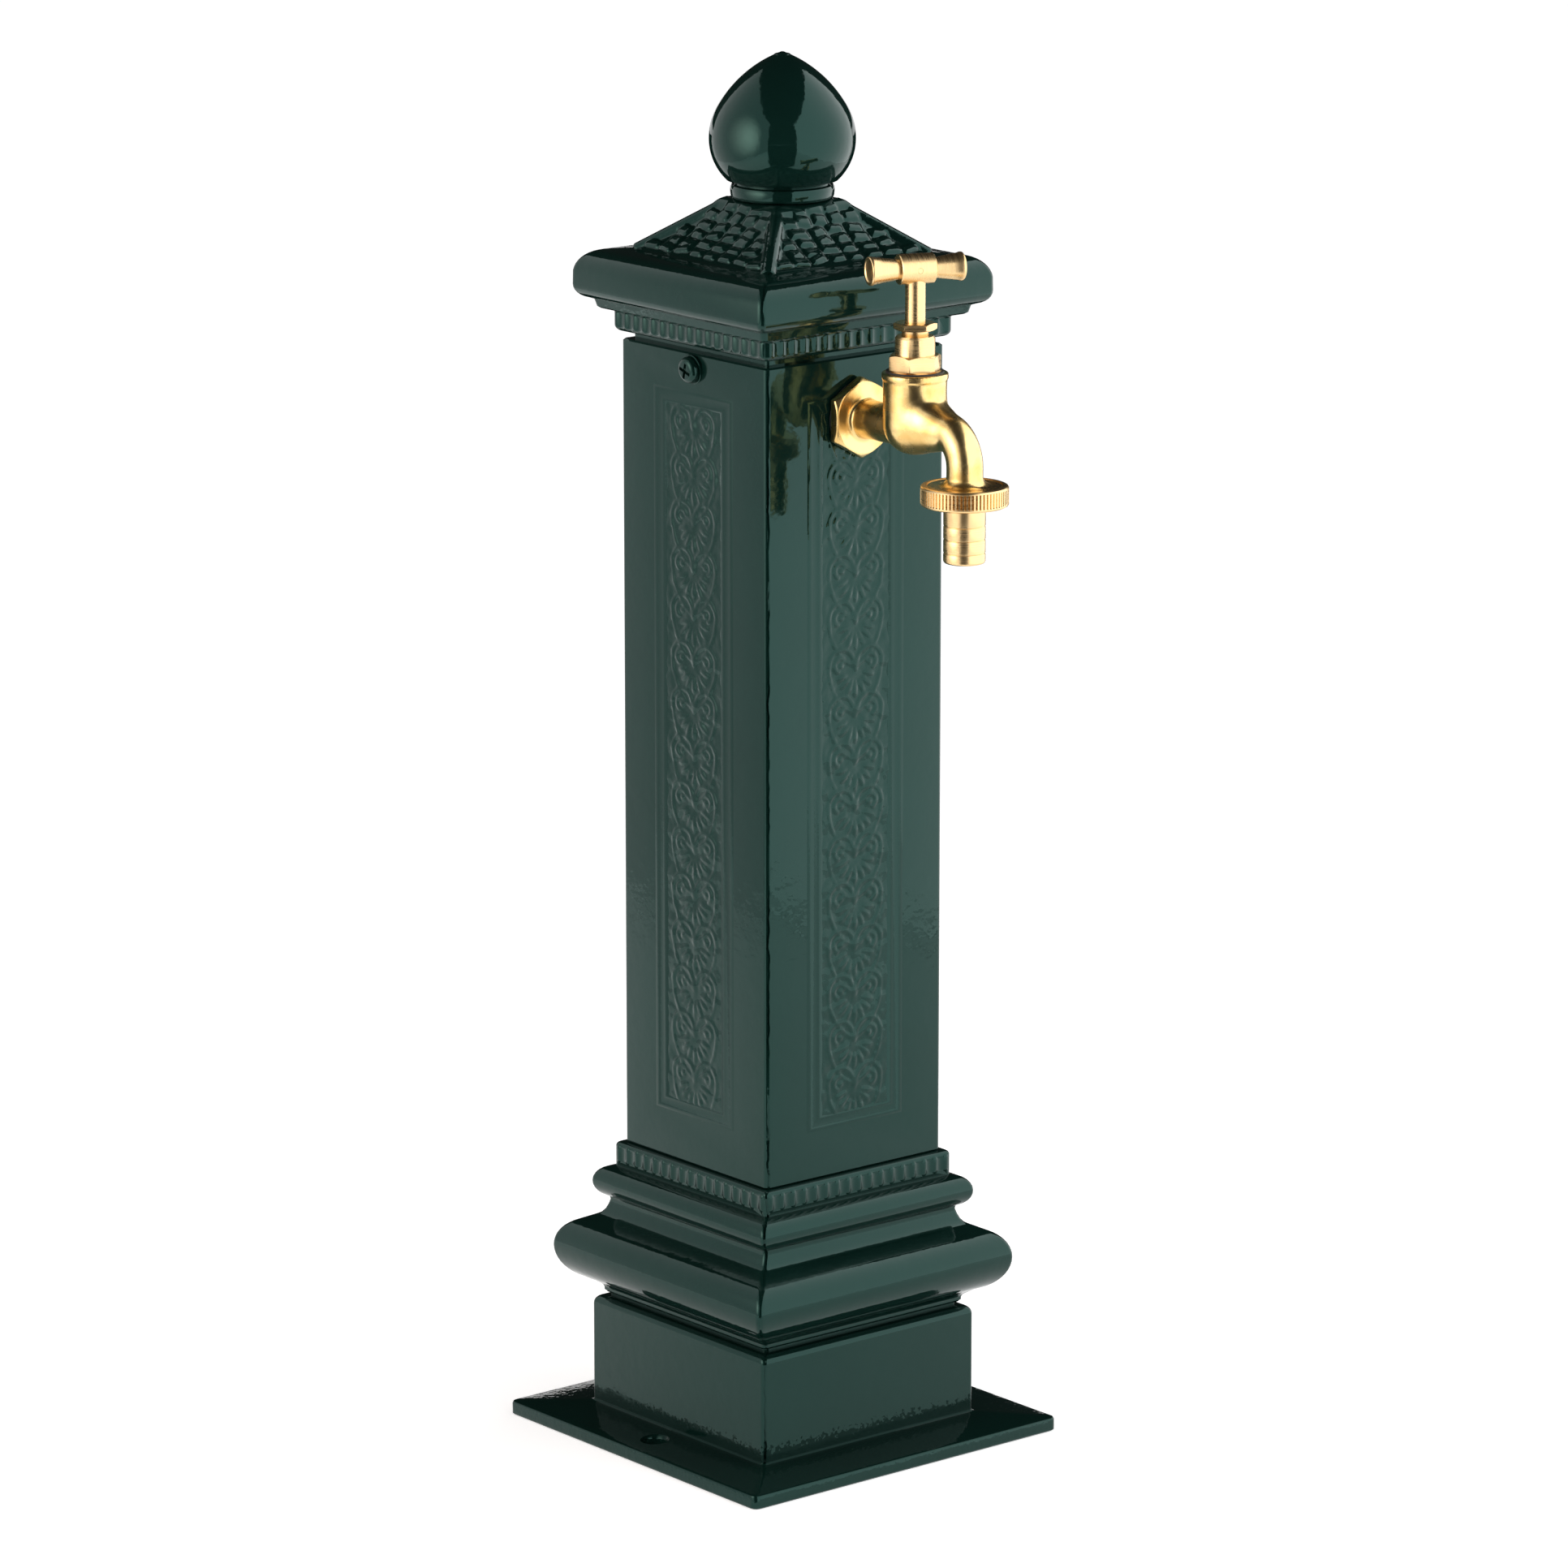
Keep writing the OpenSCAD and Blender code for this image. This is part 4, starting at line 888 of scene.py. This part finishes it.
def node_copy(node):
    """A copy of a CAD node with its loose triangles merged."""
    piece = copy(frame["nodes"][node])
    for key in list(piece.keys()):
        del piece[key]
    bpy.ops.object.parent_clear(type="CLEAR_KEEP_TRANSFORM")
    piece.modifiers.clear()
    edit(piece)
    bpy.ops.mesh.remove_doubles(threshold=MERGE)
    bpy.ops.object.mode_set(mode="OBJECT")
    return piece


def web(*balls):
    """A smooth skin stretched round balls, each a centre and a radius in millimetres."""
    pieces = []
    for centre, radius in balls:
        clear()
        bpy.ops.mesh.primitive_uv_sphere_add(segments=64, ring_count=32, radius=radius * MM)
        pieces.append(place(made(), move=centre))
    skin = join(pieces)
    edit(skin)
    bpy.ops.mesh.convex_hull()
    return close(skin)


def throat_share(x, y, z):
    """How far a point of the casting is blended, up to one between the barrel and the spout."""
    away = math.hypot(x, y - BARREL_Y)
    return min((23 - away) / 9, (away - 5) / 3, (-75 - y) / 3, (391 - z) / 3, (z - 362) / 3, 1)


class STANDPIPE_OT_tap_body(bpy.types.Operator):
    """Cast the tap body with soft, blended edges"""
    bl_idname = "standpipe.tap_body"
    bl_label = "Tap body"

    def execute(self, context):
        sizes = context.scene.standpipe_tap
        neck = web(((0, BARREL_Y, 379), 10.9), ((0, BARREL_Y, 376.1), 10.9), ((0, -89.5, 375.3), 6.2))
        carve(neck, rod((0, BARREL_Y, 371.5), (0, BARREL_Y, 400), 8.0))
        carve(neck, rod((0, BARREL_Y, 373.5), (0, -91, INLET_Z), 3.2))
        piece = join([node_copy("tap_body"), neck])
        apply(piece, "REMESH", mode="VOXEL", voxel_size=sizes.voxel)
        apply(piece, "SMOOTH", factor=0.5, iterations=6)
        throat = piece.vertex_groups.new(name="blend")
        for vertex in piece.data.vertices:
            share = throat_share(*(vertex.co / MM))
            if share > 0:
                throat.add([vertex.index], share, "REPLACE")
        apply(piece, "SMOOTH", factor=0.5, iterations=160, vertex_group=throat.name)
        smooth(piece, 180)
        brass = cast_brass(context.scene.standpipe_finish)
        finish(piece, "tap_casting", brass, COLUMN, "cast_brass", "tap_body")
        return {"FINISHED"}


def hexagon(flats, low, high, turn, chamfer=0.8):
    """A hexagon with turned chamfers, standing on the origin's axis and turned by degrees."""
    clear()
    reach = flats / math.sqrt(3)
    bpy.ops.mesh.primitive_cylinder_add(vertices=6, radius=reach * MM, depth=(high - low) * MM,
                                        location=(0, 0, (low + high) / 2 * MM))
    piece = settle(made())
    profile = [(flats / 2 + 0.1, low - 0.01), (reach + 0.2, low + chamfer)]
    profile += [(reach + 0.2, high - chamfer), (flats / 2 + 0.1, high + 0.01)]
    carve(piece, sweep("blank", profile, hollow=False), "INTERSECT")
    return place(piece, turn=(0, 0, turn))


def on_barrel(piece):
    """Moves a piece from the origin's axis to the barrel's."""
    return place(piece, move=(0, BARREL_Y, 0))


class STANDPIPE_OT_bonnet(bpy.types.Operator):
    """Turn the bonnet and the gland nut"""
    bl_idname = "standpipe.bonnet"
    bl_label = "Bonnet and gland nut"

    def execute(self, context):
        edge = context.scene.standpipe_tap.edge
        metal = turned_metal("Turned brass", context.scene.standpipe_finish.turned)
        seat, nut_seat = 394.4, 408.6
        profile = [(9, 387.1), (9, seat), (6.9, seat), (6.9, 405.7), (6.3, 406.5), (4.7, 406.5)]
        bonnet = sweep("bonnet", profile, hollow=False)
        carve(bonnet, hexagon(16, seat, 400, turn=66), "UNION")
        carve(bonnet, rod((0, 0, 380), (0, 0, 412), 4.65))
        gland = sweep("gland", [(4.6, 403.5), (4.6, nut_seat), (4.2, nut_seat)], hollow=False)
        carve(gland, hexagon(13, nut_seat, 411, turn=50, chamfer=0.5), "UNION")
        carve(gland, rod((0, 0, 400), (0, 0, 415), 3.55))
        for piece, name, node in ((bonnet, "bonnet_body", "bonnet"), (gland, "gland_cap", "gland_nut")):
            apply(piece, "BEVEL", width=edge, segments=2, limit_method="ANGLE", angle_limit=math.radians(30))
            smooth(on_barrel(piece))
            finish(piece, name, metal, COLUMN, "turned_brass", node)
        return {"FINISHED"}


class STANDPIPE_OT_handle(bpy.types.Operator):
    """Turn the T handle"""
    bl_idname = "standpipe.handle"
    bl_label = "T handle"

    def execute(self, context):
        half = [(3.4, 16.5), (3.7, 16.6), (4.0, 16.95), (4.5, 17.0)]
        half += arc((4.5, 16.5), 0.5, 90, 0, 3)
        half += [(5.0, 15.9), (4.75, 15.3), (4.35, 12.6), (3.55, 6.9), (3.5, 6.35), (4.9, 6.3), (5.2, 6.0)]
        profile = [(r, -t) for r, t in half] + half[::-1]
        piece = sweep("handle", profile, hollow=False)
        place(piece, turn=(0, 90, 0))
        place(piece, turn=(0, 0, HANDLE_TURN), move=(0, 0, HANDLE_Z))
        carve(piece, rod((0, 0, 420), (0, 0, 431.5), 3.56))
        across = math.radians(HANDLE_TURN + 90)
        side = Vector((math.cos(across), math.sin(across), 0)) * 8
        middle = Vector((0, 0, HANDLE_Z))
        carve(piece, rod(middle - side, middle + side, 0.98))
        smooth(on_barrel(piece), 40)
        metal = turned_metal("Turned brass bar", context.scene.standpipe_finish.turned, axis=0,
                             spin=math.radians(-HANDLE_TURN))
        finish(piece, "t_bar", metal, "handle", "turned_brass", "t_handle")
        return {"FINISHED"}


class STANDPIPE_OT_union(bpy.types.Operator):
    """Turn the ribbed union nut and the hose tail"""
    bl_idname = "standpipe.union"
    bl_label = "Union nut and hose tail"

    def execute(self, context):
        sizes = context.scene.standpipe_tap
        metal = turned_metal("Turned brass", context.scene.standpipe_finish.turned)
        low, high = (z / MM for z in (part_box("union_nut")[0].z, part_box("union_nut")[1].z))
        rim, hole, thread = 15.1, 8.2, 13.25
        ribbed = [low + 1.0, low + 1.3, high - 1.1, high - 0.8]
        profile = [(hole, low), (14.3, low), (14.9, low + 0.35), (rim, low + 0.8)]
        profile += [(rim, z) for z in ribbed]
        profile += [(rim, high - 0.6), (14.8, high - 0.2), (14.3, high), (thread, high)]
        profile += [(thread, low + 1.4), (hole, low + 1.4)]
        sides = 4 * sizes.ribs
        nut = sweep("nut", profile, sides=sides)
        edit(nut)
        bpy.ops.mesh.select_all(action="DESELECT")
        bpy.ops.object.mode_set(mode="OBJECT")
        step = 2 * math.pi / sides
        for vertex in nut.data.vertices:
            outer = math.hypot(vertex.co.x, vertex.co.y) > (rim - 0.1) * MM
            inside = ribbed[0] + 0.1 < vertex.co.z / MM < ribbed[3] - 0.1
            grooved = round(math.atan2(vertex.co.y, vertex.co.x) / step) % 4 == 0
            vertex.select = outer and inside and grooved
        bpy.ops.object.mode_set(mode="EDIT")
        shrink = 1 - 0.75 / rim
        bpy.ops.transform.resize(value=(shrink, shrink, 1), center_override=(0, 0, 0))
        place(nut, move=(0, OUTLET_Y, 0))
        smooth(nut, 20)
        finish(nut, "ribbed_nut", metal, "nut", "turned_brass", "union_nut")

        foot, top = (z / MM for z in (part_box("hose_tail")[0].z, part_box("hose_tail")[1].z))
        outside, bore = 7.25, 5.0
        profile = [(bore + 0.3, foot), (outside - 1, foot)] + arc((outside - 1, foot + 1), 1, -60, 0, 4)
        groove = [(0, -0.75), (-0.08, -0.5), (-0.34, -0.05), (-0.3, 0), (-0.05, 0.08), (0, 0.2)]
        for drop in (16.1, 11.4, 6.7):
            z = low - drop
            profile += [(outside + out, z + up) for out, up in groove]
        profile += [(outside, low - 0.4), (7.5, low - 0.4), (7.5, top - 1.6), (12, top - 1.6), (12, top),
                    (bore, top), (bore, foot + 0.3)]
        tail = sweep("tail", profile)
        place(tail, move=(0, OUTLET_Y, 0))
        smooth(tail, 40)
        finish(tail, "grooved_tail", metal, "tail", "turned_brass", "hose_tail")
        return {"FINISHED"}


class STANDPIPE_OT_fittings(bpy.types.Operator):
    """Give the remaining CAD pieces their materials"""
    bl_idname = "standpipe.fittings"
    bl_label = "Inner fittings"

    def execute(self, context):
        colours = context.scene.standpipe_finish
        finishes = {
            "green_paint": gloss_enamel(colours),
            "cast_brass": cast_brass(colours),
            "turned_brass": turned_metal("Turned brass", colours.turned),
            "zinc_steel": turned_metal("Zinc plated steel", colours.zinc, roughness=(0.28, 0.45)),
            "copper_pipe": turned_metal("Drawn copper", colours.copper, axis=0),
            "seal_rubber": moulded_rubber(colours),
        }
        for part in frame["record"]["subparts"]:
            mesh = frame["nodes"][part["node"]].data
            mesh.materials.clear()
            mesh.materials.append(finishes[part["material_slot"]])
        return {"FINISHED"}


# The stage

def reflected_only(board, material):
    """Puts a board on the stage that shows in reflections, but not in the picture or the shadows."""
    board.data.materials.append(material)
    board.visible_camera = False
    board.visible_diffuse = False
    board.visible_shadow = False


def beside(azimuth, side, ahead, height):
    """A place beside the column as the camera sees it, in metres, and the way to the column."""
    a = math.radians(azimuth)
    right = Vector((math.cos(a), math.sin(a), 0)) * side
    front = Vector((math.sin(a), -math.cos(a), 0)) * ahead
    return right * WALL_AWAY + front + Vector((0, 0, height)), -right


def softbox(name, azimuth, side, power):
    """A lit wall beside the column, standing along the camera's view, with a black back."""
    clear()
    wide = WALL_FAR - WALL_NEAR
    middle, inward = beside(azimuth, side, (WALL_NEAR + WALL_FAR) / 2, WALL_MIDDLE)
    bpy.ops.object.light_add(type="AREA", location=middle)
    lamp = made(name)
    lamp.rotation_euler = inward.to_track_quat("-Z", "Y").to_euler()
    lamp.data.shape = "RECTANGLE"
    lamp.data.size, lamp.data.size_y = wide, WALL_TALL
    lamp.data.energy = power
    bpy.ops.mesh.primitive_plane_add(size=1, location=middle - inward * 0.01)
    back = made(name + "_back")
    back.scale = (wide, WALL_TALL, 1)
    back.rotation_euler = lamp.rotation_euler
    reflected_only(settle(back), black_cloth())


def glow(name, azimuth, side, ahead, height, radius):
    """The hot middle of a softbox: a round, fading light just in front of its wall."""
    clear()
    middle, inward = beside(azimuth, side * 0.99, ahead, height)
    bpy.ops.mesh.primitive_circle_add(vertices=64, radius=radius, fill_type="NGON", location=middle)
    board = made(name)
    board.rotation_euler = inward.to_track_quat("Z", "Y").to_euler()
    reflected_only(settle(board), lamp_glow(middle, radius))
    board.visible_diffuse = True


def flag(name, azimuth, near, far, spread):
    """A black board low over the floor, widening away from the column, that only reflections see."""
    clear()
    bpy.ops.mesh.primitive_plane_add(size=1)
    board = made(name)
    wide = math.tan(math.radians(spread))
    for vertex in board.data.vertices:
        reach = near if vertex.co.y > 0 else far
        vertex.co = (math.copysign(reach * wide, vertex.co.x), -reach, FLAG_Z)
    place(board, turn=(0, 0, azimuth))
    reflected_only(board, black_cloth())


class STANDPIPE_OT_stage(bpy.types.Operator):
    """Set the camera, floor, surround and lights"""
    bl_idname = "standpipe.stage"
    bl_label = "Stage"

    def execute(self, context):
        stage = context.scene.standpipe_stage
        clear()
        bpy.ops.mesh.primitive_plane_add(size=FLOOR_WIDE)
        floor = made("floor")
        floor.data.materials.append(pale_board())

        target = Vector((0, 0, stage.target))
        turn, rise = stage.azimuth, stage.elevation
        flat = math.cos(rise)
        back = Vector((math.sin(turn) * flat, -math.cos(turn) * flat, math.sin(rise)))
        bpy.ops.object.camera_add(location=target + back * stage.distance)
        camera = made()
        camera.rotation_euler = (-back).to_track_quat("-Z", "Y").to_euler()
        camera.data.sensor_width = 36
        camera.data.lens = stage.lens
        camera.data.shift_x = 0.00104
        camera.data.shift_y = -0.0243
        camera.data.clip_end = 100
        context.scene.camera = camera

        front = math.degrees(stage.azimuth)
        softbox("left_wall", front, side=-1, power=14.4)
        softbox("right_wall", front, side=1, power=31.5)
        glow("left_glow", front, side=-1, ahead=0.56, height=0.6, radius=0.68)
        flag("front_flag", front, near=0.45, far=15.0, spread=22)
        flag("back_flag", front + 180, near=0.4, far=4.0, spread=34)

        world = bpy.data.worlds.new("Studio")
        context.scene.world = world
        world.use_nodes = True
        tree = world.node_tree
        tree.nodes.clear()
        light = add_node(tree, "ShaderNodeBackground", None, {"Color": (1, 1, 1, 1), "Strength": 0.015})
        add_node(tree, "ShaderNodeOutputWorld", {"Surface": light.outputs["Background"]})
        context.scene.view_settings.view_transform = "Standard"
        return {"FINISHED"}


# Panel and registration

class STANDPIPE_PT_panel(bpy.types.Panel):
    """Lists the standpipe's pieces and sizes"""
    bl_label = "Garden standpipe"
    bl_idname = "STANDPIPE_PT_panel"
    bl_space_type = "VIEW_3D"
    bl_region_type = "UI"
    bl_category = "Standpipe"

    def draw(self, context):
        for cls in OPERATORS:
            self.layout.operator(cls.bl_idname)
        for group in GROUPS:
            sizes = getattr(context.scene, group)
            box = self.layout.box()
            for key in sizes.bl_rna.properties.keys():
                if key not in ("rna_type", "name"):
                    box.prop(sizes, key)


GROUPS = {
    "standpipe_column": StandpipeColumn,
    "standpipe_tap": StandpipeTap,
    "standpipe_finish": StandpipeFinish,
    "standpipe_stage": StandpipeStage,
}

OPERATORS = (
    STANDPIPE_OT_pedestal, STANDPIPE_OT_shaft, STANDPIPE_OT_palmettes, STANDPIPE_OT_cap, STANDPIPE_OT_finial,
    STANDPIPE_OT_cap_screws, STANDPIPE_OT_tap_body, STANDPIPE_OT_bonnet, STANDPIPE_OT_handle,
    STANDPIPE_OT_union, STANDPIPE_OT_fittings, STANDPIPE_OT_stage,
)


def register():
    for cls in (*GROUPS.values(), *OPERATORS, STANDPIPE_PT_panel):
        bpy.utils.register_class(cls)
    for name, group in GROUPS.items():
        setattr(bpy.types.Scene, name, PointerProperty(type=group))


def unregister():
    for name in GROUPS:
        delattr(bpy.types.Scene, name)
    for cls in (STANDPIPE_PT_panel, *reversed(OPERATORS), *reversed(GROUPS.values())):
        bpy.utils.unregister_class(cls)


def main():
    register()
    for cls in OPERATORS:
        getattr(bpy.ops.standpipe, cls.bl_idname.split(".")[1])()
    clear()


if __name__ == "__main__":
    main()
